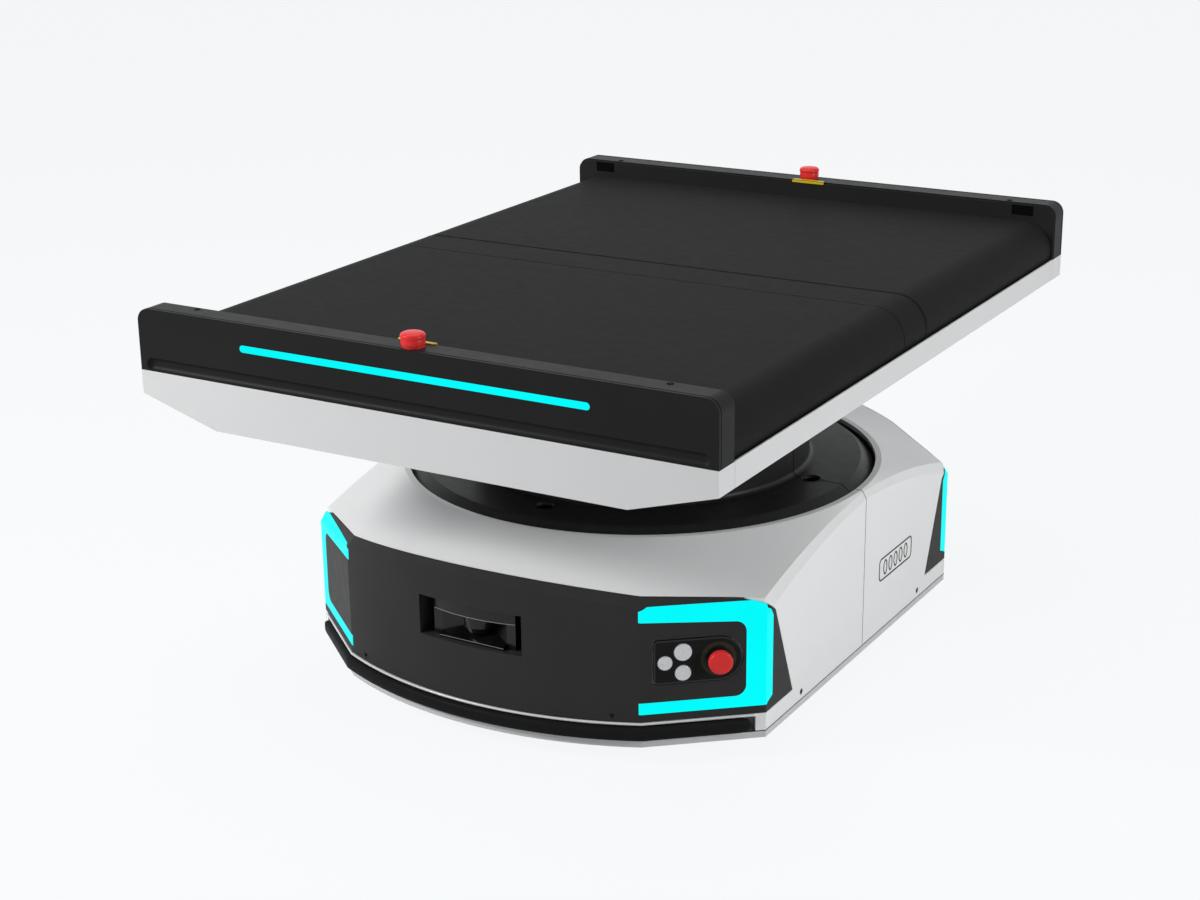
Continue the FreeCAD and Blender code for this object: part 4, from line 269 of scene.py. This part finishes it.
def turned(profile, place, steps=72):
    """A profile of (radius, height), closed or with both ends on the Z axis, turned about that axis."""
    points, faces = [], []
    count = len(profile)
    for i in range(steps):
        a = 2 * math.pi * i / steps
        points += [(r * math.cos(a), r * math.sin(a), h) for r, h in profile]
    for i in range(steps):
        near, far = i * count, (i + 1) % steps * count
        for j in range(count - 1):
            faces.append((near + j, far + j, far + j + 1, near + j + 1))
    return mesh_from(points, faces, place)


def tube_ring(rows, closed=False, place=None):
    """Sections of equal length joined into one skin: a ring if closed, else capped at both ends."""
    points = [p for row in rows for p in row]
    n = len(rows[0])
    faces = []
    for i in range(len(rows) if closed else len(rows) - 1):
        near, far = i * n, (i + 1) % len(rows) * n
        for j in range(n):
            k = (j + 1) % n
            faces.append((near + j, near + k, far + k, far + j))
    if not closed:
        faces.append(tuple(range(n)))
        faces.append(tuple(range(len(points) - n, len(points))))
    return mesh_from(points, faces, place)


def plate(outline, low, high, place, bevel):
    """A flat plate of that outline in its own XY plane, with its edges rounded."""
    n = len(outline)
    points = [(x, y, low) for x, y in outline] + [(x, y, high) for x, y in outline]
    faces = [tuple(range(n)), tuple(range(n, 2 * n))]
    faces += [(i, (i + 1) % n, n + (i + 1) % n, n + i) for i in range(n)]
    mesh = mesh_from(points, faces, place)
    bm = bmesh.new()
    bm.from_mesh(mesh)
    edges = [e for e in bm.edges if len(e.link_faces) == 2 and e.calc_face_angle() > FLAT_TURN]
    bmesh.ops.bevel(bm, geom=edges, offset=bevel * MM, segments=2, profile=0.6, affect="EDGES",
                    clamp_overlap=True)
    bm.to_mesh(mesh)
    bm.free()
    return mesh


def arc(cx, cy, radius, start, end, steps=12):
    """Points of an arc; the angles are in degrees."""
    out = []
    for i in range(steps + 1):
        a = math.radians(start + (end - start) * i / steps)
        out.append((cx + radius * math.cos(a), cy + radius * math.sin(a)))
    return out


def rounded_box(half_w, half_h, radius):
    """Outline of a rectangle with round corners."""
    x, y = half_w - radius, half_h - radius
    out = []
    for cx, cy, start in ((x, y, 0), (-x, y, 90), (-x, -y, 180), (x, -y, 270)):
        out += arc(cx, cy, radius, start, start + 90, ROUND_STEPS)
    return out


def oval(half_w, half_h):
    turns = [2 * math.pi * i / OVAL_STEPS for i in range(OVAL_STEPS)]
    return [(half_w * math.cos(a), half_h * math.sin(a)) for a in turns]


def outline_band(outline, width, low, high, place):
    """A raised line that follows a closed outline, width wide, inside it."""
    rows = []
    for i, (x, y) in enumerate(outline):
        x0, y0 = outline[i - 1]
        x1, y1 = outline[(i + 1) % len(outline)]
        length = math.hypot(x1 - x0, y1 - y0)
        inner_x, inner_y = x - (y1 - y0) / length * width, y + (x1 - x0) / length * width
        rows.append([(x, y, low), (x, y, high), (inner_x, inner_y, high), (inner_x, inner_y, low)])
    return tube_ring(rows, closed=True, place=place)


def ribbon(path, near, far, thick, in_yz=False):
    """A thin strip along a path in the XZ plane, or the YZ plane if in_yz, from near to far across it."""
    path = [p for i, p in enumerate(path) if i == 0 or math.dist(p, path[i - 1]) > SAME_SPOT]
    rows = []
    for i, (a, z) in enumerate(path):
        a0, z0 = path[max(i - 1, 0)]
        a1, z1 = path[min(i + 1, len(path) - 1)]
        length = math.hypot(a1 - a0, z1 - z0)
        na, nz = -(z1 - z0) / length * thick, (a1 - a0) / length * thick
        row = []
        for across, da, dz in ((near, 0, 0), (far, 0, 0), (far, na, nz), (near, na, nz)):
            row.append((across, a + da, z + dz) if in_yz else (a + da, across, z + dz))
        rows.append(row)
    return tube_ring(rows)


# ---------------------------------------------------------------- places, in millimetres


def lowest(node):
    return [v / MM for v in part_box(node)[0]]


def highest(node):
    return [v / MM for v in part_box(node)[1]]


ENDS = (("front", -1), ("rear", 1))
SIDES = (("right", 1), ("left", -1))
GUARD_THICKNESS = 37
DECK_X = highest("guard_front")[0]
DECK_Y = highest("guard_rear")[1]
GUARD_TOP = highest("guard_front")[2]
GUARD_FOOT = lowest("guard_front")[2]
GUARD_INNER_Y = DECK_Y - GUARD_THICKNESS
BELT_TOP = highest("belt_front")[2]
BELT_X = highest("belt_front")[0]
ROLLER_Z = (lowest("belt_front")[2] + BELT_TOP) / 2
BELT_RADIUS = (BELT_TOP - lowest("belt_front")[2]) / 2
TRAY_RIM = highest("tray_sides")[2]
STOP_Y = (lowest("deck_stop_head_rear")[1] + highest("deck_stop_head_rear")[1]) / 2
STOP_TOP = highest("deck_stop_head_front")[2]
DISC_TOP = 256.0
# the base's outline: its half width, and where side, corner facet and nose meet
HALF_BASE = 336.0
HALF_SIDE = 291.4
FACET_X, FACET_Y = 217.0, 390.7
NOSE_REACH = 440.0
NOSE_STEPS = 64
DROP = NOSE_REACH - FACET_Y
NOSE_RADIUS = (FACET_X ** 2 + DROP ** 2) / (2 * DROP)
FACET_LENGTH = math.hypot(HALF_BASE - FACET_X, FACET_Y - HALF_SIDE)
FACET_START = Vector((FACET_X, -FACET_Y, 0))
ALONG = Vector(((HALF_BASE - FACET_X) / FACET_LENGTH, (FACET_Y - HALF_SIDE) / FACET_LENGTH, 0))
INWARD = Vector((-ALONG.y, ALONG.x, 0))
TURN_BACK = Matrix.Rotation(math.pi, 4, "Z")


def facet_place(across, height):
    """Frame on the facet: X along it, Y up, Z straight out of it."""
    origin = FACET_START + ALONG * across + Vector((0, 0, height))
    matrix = Matrix((ALONG, Vector((0, 0, 1)), -INWARD)).transposed().to_4x4()
    return Matrix.Translation(origin * MM) @ matrix


def at(x, y, z, turn=None):
    matrix = Matrix.Translation(Vector((x, y, z)) * MM)
    return matrix @ turn if turn is not None else matrix


def nose_path(tip, step=6.0):
    """Points and outward normals of the base outline, from tip mm off one front corner to the other."""
    left_outward = Vector((INWARD.x, -INWARD.y, 0))
    points = []
    start = FACET_LENGTH - tip
    count = int(start / step)
    for i in range(count):
        s = start * (1 - i / count)
        points.append((FACET_START + ALONG * s, -INWARD))
    limit = math.asin(FACET_X / NOSE_RADIUS)
    for i in range(NOSE_STEPS + 1):
        a = limit * (1 - 2 * i / NOSE_STEPS)
        normal = Vector((math.sin(a), -math.cos(a), 0))
        spot = Vector((0, NOSE_RADIUS - NOSE_REACH, 0)) + normal * NOSE_RADIUS
        if i == 0:
            normal = (normal - INWARD).normalized()
        if i == NOSE_STEPS:
            normal = (normal + left_outward).normalized()
        points.append((spot, normal))
    for i in range(1, count + 1):
        s = start * i / count
        spot = FACET_START + ALONG * s
        points.append((Vector((-spot.x, spot.y, 0)), left_outward))
    return points


def swept(path, sections):
    """One section of (out, height) pairs for each point of the path, joined into a strip."""
    rows = []
    for (spot, normal), section in zip(path, sections):
        rows.append([tuple(spot + normal * out + Vector((0, 0, z))) for out, z in section])
    return tube_ring(rows)


# ---------------------------------------------------------------- deck stops, plates and screws

SKIRT = 3.3  # a stop's travel and the gap below it
HEAD_HEIGHT = 11


def stop_profile(top):
    """Mushroom head with a shallow waist, hollow under its skirt."""
    return [
        (0, top), (6, top - 0.1), (11.6, top - 0.7), (13.6, top - 1.7), (14.7, top - 3.2), (15, top - 4.6),
        (14.9, top - 6.2), (14.3, top - 6.9), (14.1, top - 7.4), (14.3, top - 8.0), (14.4, SKIRT + 0.6),
        (14.0, SKIRT), (13.6, SKIRT), (13.5, SKIRT + 5), (0, SKIRT + 5),
    ]


COLLAR = [(0, SKIRT + 0.7), (13.1, SKIRT + 0.7), (13.3, SKIRT + 0.4), (13.3, 0.02), (0, 0.02)]
PLATE_LEFT, PLATE_RIGHT = -18, 34
LIP_Y, PLATE_Y = GUARD_INNER_Y - 1.6, GUARD_INNER_Y + 5.4
PLATE_TOP, PLATE_BEVEL = GUARD_TOP + 1.3, 0.3
PLATE_FRONT = [(PLATE_LEFT, LIP_Y), (PLATE_RIGHT, LIP_Y)]
PLATE_SHAPE = PLATE_FRONT + [(PLATE_RIGHT, LIP_Y + 4.5), (PLATE_RIGHT - 6, PLATE_Y),
                             (PLATE_LEFT + 4, PLATE_Y), (PLATE_LEFT, LIP_Y + 4.5)]
LIP_SHAPE = PLATE_FRONT + [(PLATE_RIGHT, LIP_Y + 1.5), (PLATE_LEFT, LIP_Y + 1.5)]
for end, sign in ENDS:
    place = at(0, sign * STOP_Y, GUARD_TOP)
    head = piece("stop_head_" + end, turned(stop_profile(STOP_TOP - GUARD_TOP), place), red_mat,
                 "deck_stop_" + end)
    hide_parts("deck_stop_head_" + end)
    piece("stop_collar_" + end, turned(COLLAR, place), red_mat, "turntable")
    flip = Matrix.Identity(4) if sign > 0 else TURN_BACK
    piece("stop_plate_" + end, plate(PLATE_SHAPE, GUARD_TOP + 0.05, PLATE_TOP, flip, PLATE_BEVEL), yellow_mat,
          "turntable")
    piece("stop_lip_" + end, plate(LIP_SHAPE, GUARD_TOP - 3.2, PLATE_TOP, flip, PLATE_BEVEL), yellow_mat,
          "turntable")

SCREW_X, SCREW_Y = 327, 518
SCREW = [(0, -1.4), (1.9, -1.4), (2.0, 0.25), (2.2, 0.45), (3.6, 0.45), (4.1, 0.2), (4.2, 0.02), (0, -1.6)]
for x in (-SCREW_X, SCREW_X):
    for y in (-SCREW_Y, SCREW_Y):
        name = "guard_screw_%s%s" % ("r" if x > 0 else "l", "b" if y > 0 else "f")
        piece(name, turned(SCREW, at(x, y, GUARD_TOP), 24), shadow_black_mat, "turntable")

# ---------------------------------------------------------------- painted shade lines of the guards, belts and tray

LINE_THICK = 0.12
EDGE_RADIUS = 17.0
over_guard = [(DECK_X, GUARD_FOOT + 1)]
over_guard += arc(DECK_X - EDGE_RADIUS, GUARD_TOP - EDGE_RADIUS, EDGE_RADIUS, 0, 90)
over_guard += arc(EDGE_RADIUS - DECK_X, GUARD_TOP - EDGE_RADIUS, EDGE_RADIUS, 90, 180)
over_guard += [(-DECK_X, GUARD_FOOT + 1)]
# Painted shade: a near-black strip over each guard's groove, across its top and round its corners, for the
# shade in the groove.
for end, sign in ENDS:
    near, far = sorted((sign * (DECK_Y - 3.7), sign * (DECK_Y - 5.2)))
    piece("guard_shade_line_" + end, ribbon(over_guard[::-1], near, far, LINE_THICK), shadow_black_mat, "turntable")

ROLL_X = BELT_X - BELT_RADIUS
over_belt = [(-BELT_X, ROLLER_Z)] + arc(-ROLL_X, ROLLER_Z, BELT_RADIUS, 180, 90)
over_belt += arc(ROLL_X, ROLLER_Z, BELT_RADIUS, 90, 0)
# Painted shade: near-black strips over the gaps beside the centre strip, along the belt tops and round the
# rollers, for the shade inside the gaps.
piece("belt_gap_shade_rear", ribbon(over_belt, 33.6, 37.9, 0.2), shadow_black_mat, "turntable")
piece("belt_gap_shade_front", ribbon(over_belt, -35.6, -34.4, LINE_THICK), shadow_black_mat, "turntable")
# Painted shade: a near-black strip on each tray rim beside the belt, for the shade under the belt's rounded
# edge.
tray_shade_line = [(-GUARD_INNER_Y, TRAY_RIM + 0.05), (GUARD_INNER_Y, TRAY_RIM + 0.05)]
for side, sign in SIDES:
    near, far = sorted((sign * (BELT_X + 0.3), sign * (BELT_X + 2.0)))
    piece("tray_shade_" + side, ribbon(tray_shade_line, near, far, 0.3, in_yz=True), shadow_black_mat, "turntable")

# ---------------------------------------------------------------- column cover: seam and access holes

HUB_TOP = highest("column_cover_front")[2] - 1
SEAM = [(230.2, HUB_TOP), (230.2, DISC_TOP + 7), (232.2, DISC_TOP + 2.1), (237, DISC_TOP + 0.1),
        (300, DISC_TOP + 0.1), (317, DISC_TOP - 12.9)]
for side, sign in SIDES:
    flat = [(sign * a, z) for a, z in SEAM][::sign]
    piece("disc_seam_" + side, ribbon(flat, -0.6, 0.6, LINE_THICK), shadow_black_mat, "turntable")

HOLE_REACH = 256
RIM = [(11.2, -3), (12.4, -0.2), (12.9, 0.35), (14.0, 0.55), (15.0, 0.3), (15.3, 0.02), (12.3, 0.0),
       (12.3, -3), (11.2, -3)]
# Painted shade: a near-black cup deep in each hole, for the shade inside it; the rim above is the hole's own
# black ring.
HOLE_SHADE = [(0, -6.0), (9.5, -6.0), (11.9, -5.0), (12.3, -2.5), (12.3, -6.6), (0, -6.6)]
for i, (x, y) in enumerate(((HOLE_REACH, 0), (-HOLE_REACH, 0), (0, -HOLE_REACH), (0, HOLE_REACH))):
    place = at(x, y, DISC_TOP)
    piece("hole_rim_%d" % i, turned(RIM, place, 48), black_mat, "turntable")
    piece("hole_shade_%d" % i, turned(HOLE_SHADE, place, 48), shadow_black_mat, "turntable")

# ---------------------------------------------------------------- base: seams, number plate and plinth line

SHELL_LINE = [(HALF_BASE, 34), (HALF_BASE, 241), (331.2, 250), (328, 252), (320.5, 252)]
for side, sign in SIDES:
    flat = [(sign * a, z) for a, z in SHELL_LINE][::-sign]
    piece("shell_seam_" + side, ribbon(flat, -0.55, 0.55, 0.1), seam_mat, "base")

WALL = Matrix(((0, 0, 1, 0), (1, 0, 0, 0), (0, 1, 0, 0), (0, 0, 0, 1)))  # X along the side, Y up, Z out of it
NUMBER_Y, NUMBER_Z, NUMBER_PITCH = 106.5, 120.5, 17.5
NUMBER_LINE = 2.1
number_place = at(HALF_BASE, NUMBER_Y, NUMBER_Z, WALL)
piece("number_frame", outline_band(rounded_box(56, 16.5, 8), NUMBER_LINE, -0.3, 0.35, number_place), seam_mat,
      "base")
for i in range(5):
    spot = at(HALF_BASE, NUMBER_Y + (i - 2) * NUMBER_PITCH, NUMBER_Z, WALL)
    piece("number_oval_%d" % i, outline_band(oval(6.4, 11), NUMBER_LINE, -0.3, 0.3, spot), seam_mat, "base")

PLINTH_PROUD, PLINTH_INNER = 0.15, 0.995
PLINTH_LOW, PLINTH_HIGH = 31.9, 33.2
front_half = [spot + normal * PLINTH_PROUD for spot, normal in nose_path(0.0)]
rows = []
for p in front_half + [Vector((-p.x, -p.y, 0)) for p in front_half]:
    inner = p * PLINTH_INNER
    rows.append([(p.x, p.y, PLINTH_LOW), (p.x, p.y, PLINTH_HIGH), (inner.x, inner.y, PLINTH_HIGH),
                 (inner.x, inner.y, PLINTH_LOW)])
piece("plinth_line", tube_ring(rows, closed=True), seam_mat, "base")

# ---------------------------------------------------------------- bumpers with their beads

TIP = 15.0
STRIP_OUT, STRIP_Z = 1.5, 43.0
STRIP_HALF_OUT, STRIP_HALF_Z = 7.3, 8.8
STRIP_SIDES, BEAD_SIDES = 20, 12
SQUARENESS = 0.55


def squared(value):
    """A sine or cosine pushed outwards, so that a circle becomes a soft square."""
    return abs(value) ** SQUARENESS * math.copysign(1, value)


def strip_section(size):
    """Section of the strip, at size times its full height."""
    section = []
    for a in range(STRIP_SIDES):
        t = 2 * math.pi * a / STRIP_SIDES
        out, z = squared(math.cos(t)) * STRIP_HALF_OUT, squared(math.sin(t)) * STRIP_HALF_Z
        section.append((STRIP_OUT + out * (0.35 + 0.65 * size), STRIP_Z + z * size))
    return section


def strip_sections(path):
    """Sections along the path, smaller towards its two tips."""
    lengths = [0.0]
    for i in range(1, len(path)):
        lengths.append(lengths[-1] + (path[i][0] - path[i - 1][0]).length)
    sections = []
    for length in lengths:
        d = min(length, lengths[-1] - length, TIP) / TIP
        sections.append(strip_section(math.sqrt(max(0.0, 1 - (1 - d) ** 2)) * 0.86 + 0.14))
    return sections


bead_turns = [2 * math.pi * a / BEAD_SIDES for a in range(BEAD_SIDES)]
BEAD = [(0.9 + 1.6 * math.cos(t), 54.9 + 1.75 * math.sin(t)) for t in bead_turns]
strip_path, bead_path = nose_path(19.0, 1.5), nose_path(15.0, 3.0)
for end, sign in ENDS:
    strip_mesh = swept(strip_path, strip_sections(strip_path))
    bead_mesh = swept(bead_path, [BEAD] * len(bead_path))
    if sign > 0:
        strip_mesh.transform(TURN_BACK)
        bead_mesh.transform(TURN_BACK)
    strip = piece("bumper_strip_" + end, strip_mesh, rubber_mat, "bumper_" + end)
    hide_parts("bumper_" + end)
    piece("bumper_bead_" + end, bead_mesh, bead_mat, "base")

# ---------------------------------------------------------------- control plate

STOP_S, STOP_Z = 95.0, 134.5
PANEL_START, PANEL_END, PANEL_HALF, PANEL_CORNER = 15, 125, 28.5, 5
LINER, SEAM_GAP = 3.4, 0.6
corner_s, corner_rise = PANEL_START + PANEL_CORNER, PANEL_HALF - PANEL_CORNER
edge = arc(PANEL_END - PANEL_HALF, STOP_Z, PANEL_HALF, -90, 90, 20)
edge += arc(corner_s, STOP_Z + corner_rise, PANEL_CORNER, 90, 180, 20)
edge += arc(corner_s, STOP_Z - corner_rise, PANEL_CORNER, 180, 270, 20)
piece("plate_rim", outline_band(edge, 2.2, 0.3, 0.95, facet_place(0, 0)), gloss_black_mat, "base")
stop_place = facet_place(STOP_S, STOP_Z)
ring = [(13.3, 0.55), (13.6, 1.1), (16.8, 1.1), (17.3, 0.6), (17.3, 0.5), (13.3, 0.5), (13.3, 0.55)]
piece("stop_ring", turned(ring, stop_place), black_mat, "base")
# Partly painted reflection: a thin ring for the label round the stop, in the dark olive of a faint
# reflection.
label_reflection_profile = [(17.6, 0.62), (17.6, 0.72), (22.0, 0.72), (22.0, 0.62), (17.6, 0.62)]
piece("label_reflection_ring", turned(label_reflection_profile, stop_place), label_reflection_mat, "base")
front = LINER + SEAM_GAP + SKIRT + HEAD_HEIGHT
head_profile = [
    (0, front), (8, front - 0.05), (12.6, front - 0.3), (13.6, front - 0.9), (14.6, front - 2.2),
    (15, front - 3.8), (15, front - 7.5), (14.5, front - 8.2), (14.4, 8.3), (14.0, 7.6), (13.6, 7.6),
    (13.5, 11.7), (0, 11.7),
]
stop = piece("stop_head_base", turned(head_profile, stop_place), red_mat, "base_stop")
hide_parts("base_stop_head")
sleeve = [(0, 8.4), (13.0, 8.4), (13.2, 8.1), (13.2, 0.6), (0, 0.6)]
piece("stop_sleeve_base", turned(sleeve, stop_place), black_mat, "base")
for word, s, z, r in (("start", 51, 146.5, 11), ("power", 29, 133.7, 9), ("reset", 51, 119.4, 10)):
    place = facet_place(s, z)
    cap = [(0, 2.55), (r * 0.5, 2.5), (r * 0.78, 2.35), (r * 0.86, 2.45), (r * 0.93, 2.6), (r - 0.3, 2.35),
           (r, 1.7), (r, -4), (0, -4)]
    button = piece(word + "_cap", turned(cap, place, 48), silver_mat, word + "_button")
    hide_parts(word + "_button")
    groove = [(r + 0.25, 0.55), (r + 0.3, 0.95), (r + 1.3, 0.95), (r + 1.5, 0.55), (r + 0.25, 0.55)]
    piece(word + "_ring", turned(groove, place, 48), gloss_black_mat, "base")

# ---------------------------------------------------------------- suspension buffers

RIBS = 3
BUFFER_GAP = 0.2
for side in ("left", "right"):
    node = "suspension_buffer_" + side
    low, high = lowest(node), highest(node)
    x, y = (low[0] + high[0]) / 2, (low[1] + high[1]) / 2
    r, tall = (high[0] - low[0]) / 2, high[2] - low[2]
    ribbed = [(5, BUFFER_GAP), (r - 0.6, BUFFER_GAP)]
    for k in range(RIBS):
        z0 = BUFFER_GAP + (tall - 2 * BUFFER_GAP) * k / RIBS
        z1 = BUFFER_GAP + (tall - 2 * BUFFER_GAP) * (k + 1) / RIBS
        ribbed += [(r - 0.1, z0 + 1.2), (r - 0.1, z1 - 1.6), (r - 1.6, z1 - 0.5)]
    ribbed += [(r - 0.6, tall - BUFFER_GAP), (5, tall - BUFFER_GAP), (5, BUFFER_GAP)]
    buffer = piece("rubber_buffer_" + side, turned(ribbed, at(x, y, low[2]), 40), rubber_mat, "base")
    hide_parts(node)
    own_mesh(buffer)

# ---------------------------------------------------------------- scanner: painted highlight lines on the edges of the hood and deflector

WIRE_SIDES = 8


def wire(points, radius):
    """A thin rounded tube along points, for a painted highlight line."""
    rows = []
    for i, p in enumerate(points):
        after, before = points[min(i + 1, len(points) - 1)], points[max(i - 1, 0)]
        tangent = (Vector(after) - Vector(before)).normalized()
        first = tangent.cross(Vector((0, 0, 1))).normalized()
        second = tangent.cross(first)
        ring_points = []
        for a in range(WIRE_SIDES):
            t = 2 * math.pi * a / WIRE_SIDES
            ring_points.append(tuple(Vector(p) + (first * math.cos(t) + second * math.sin(t)) * radius))
        rows.append(ring_points)
    return tube_ring(rows)


HOOD_LOW, HOOD_FRONT = 165.0, -432.0
HOOD_HALF, HOOD_SWEEP = 60.0, 8.0
bow = (HOOD_HALF ** 2 + HOOD_SWEEP ** 2) / (2 * HOOD_SWEEP)
hood_highlight = []
for i in range(25):
    x = -59.5 + 119 * i / 24
    hood_highlight.append((x, HOOD_FRONT + bow - math.sqrt(bow ** 2 - x ** 2) + 0.3, HOOD_LOW + 0.35))
deflector_edge = [(-46.7 + 93.4 * i / 12, -431.8, 133.8) for i in range(13)]
piece("hood_highlight", wire(hood_highlight, 0.55), painted_highlight_mat, "base")
piece("deflector_edge", wire(deflector_edge, 0.45), painted_highlight_mat, "base")


# ---------------------------------------------------------------- stage


def seen_rays(tree):
    """1 for camera, glossy and transmission rays, and 0 for the rest."""
    light_path = tree.nodes.new("ShaderNodeLightPath")
    value = light_path.outputs["Is Camera Ray"]
    for ray in ("Is Glossy Ray", "Is Transmission Ray"):
        either = tree.nodes.new("ShaderNodeMath")
        either.operation = "MAXIMUM"
        tree.links.new(value, either.inputs[0])
        tree.links.new(light_path.outputs[ray], either.inputs[1])
        value = either.outputs[0]
    return value


PALE = (0.955, 0.972, 0.982)
FLOOR_GLOW = 0.93
floor_mat, floor_tree, floor_bsdf = new_material("floor")
floor_bsdf.inputs["Base Color"].default_value = (0.80, 0.81, 0.82, 1)
floor_bsdf.inputs["Roughness"].default_value = 0.9
glow = floor_tree.nodes.new("ShaderNodeEmission")
glow.inputs["Color"].default_value = (*PALE, 1)
share = floor_tree.nodes.new("ShaderNodeMath")
share.operation = "MULTIPLY"
share.inputs[1].default_value = FLOOR_GLOW
floor_tree.links.new(seen_rays(floor_tree), share.inputs[0])
mix = floor_tree.nodes.new("ShaderNodeMixShader")
floor_tree.links.new(share.outputs[0], mix.inputs[0])
floor_tree.links.new(floor_bsdf.outputs[0], mix.inputs[1])
floor_tree.links.new(glow.outputs[0], mix.inputs[2])
floor_tree.links.new(mix.outputs[0], floor_tree.nodes["Material Output"].inputs["Surface"])

floor_mesh = bpy.data.meshes.new("floor")
REACH = 14
floor_corners = [(-REACH, -REACH, 0), (REACH, -REACH, 0), (REACH, REACH, 0), (-REACH, REACH, 0)]
floor_mesh.from_pydata(floor_corners, [], [(0, 1, 2, 3)])
floor = bpy.data.objects.new("floor", floor_mesh)
floor_mesh.materials.append(floor_mat)
bpy.context.collection.objects.link(floor)

world = bpy.data.worlds.new("world")
bpy.context.scene.world = world
world.use_nodes = True
world_tree = world.node_tree
world_tree.nodes.clear()
seen = world_tree.nodes.new("ShaderNodeBackground")
seen.inputs["Color"].default_value = (*PALE, 1)
seen.inputs["Strength"].default_value = 1.0
lit = world_tree.nodes.new("ShaderNodeBackground")
lit.inputs["Color"].default_value = (0.95, 0.97, 1.0, 1)
lit.inputs["Strength"].default_value = 0.16
world_mix = world_tree.nodes.new("ShaderNodeMixShader")
world_out = world_tree.nodes.new("ShaderNodeOutputWorld")
world_tree.links.new(seen_rays(world_tree), world_mix.inputs[0])
world_tree.links.new(lit.outputs[0], world_mix.inputs[1])
world_tree.links.new(seen.outputs[0], world_mix.inputs[2])
world_tree.links.new(world_mix.outputs[0], world_out.inputs["Surface"])


def soft_lamp(name, place, aim, size, watts):
    data = bpy.data.lights.new(name, "AREA")
    data.shape = "RECTANGLE"
    data.size, data.size_y = size
    data.energy = watts
    lamp = bpy.data.objects.new(name, data)
    lamp.location = place
    lamp.rotation_euler = (Vector(aim) - Vector(place)).to_track_quat("-Z", "Y").to_euler()
    bpy.context.collection.objects.link(lamp)


soft_lamp("top_light", (-0.3, 0.2, 3.0), (0, 0, 0.3), (2.6, 2.0), 40)
soft_lamp("right_light", (3.3, -0.1, 1.1), (0, 0, 0.3), (1.2, 1.0), 48)
soft_lamp("front_light", (-2.1, -2.5, 2.1), (-0.1, -0.2, 0.25), (0.9, 0.7), 88)

# ---------------------------------------------------------------- camera

CAMERA_PLACE = Vector((1.3816, -2.4540, 1.2132))
YAW, PITCH, ROLL = (math.radians(a) for a in (30.559, -18.792, -0.719))
SENSOR_WIDTH, LENS = 36, 64.66
forward = Vector((-math.sin(YAW) * math.cos(PITCH), math.cos(YAW) * math.cos(PITCH), math.sin(PITCH)))
level_right = Vector((math.cos(YAW), math.sin(YAW), 0))
level_up = level_right.cross(forward)
right = math.cos(ROLL) * level_right + math.sin(ROLL) * level_up
up = -math.sin(ROLL) * level_right + math.cos(ROLL) * level_up
camera_data = bpy.data.cameras.new("camera")
camera_data.sensor_fit = "HORIZONTAL"
camera_data.sensor_width = SENSOR_WIDTH
camera_data.lens = LENS
camera = bpy.data.objects.new("camera", camera_data)
turn = Matrix((right, up, -forward)).transposed().to_4x4()
camera.matrix_world = Matrix.Translation(CAMERA_PLACE) @ turn
bpy.context.collection.objects.link(camera)
bpy.context.scene.camera = camera
bpy.context.scene.view_settings.view_transform = "Standard"
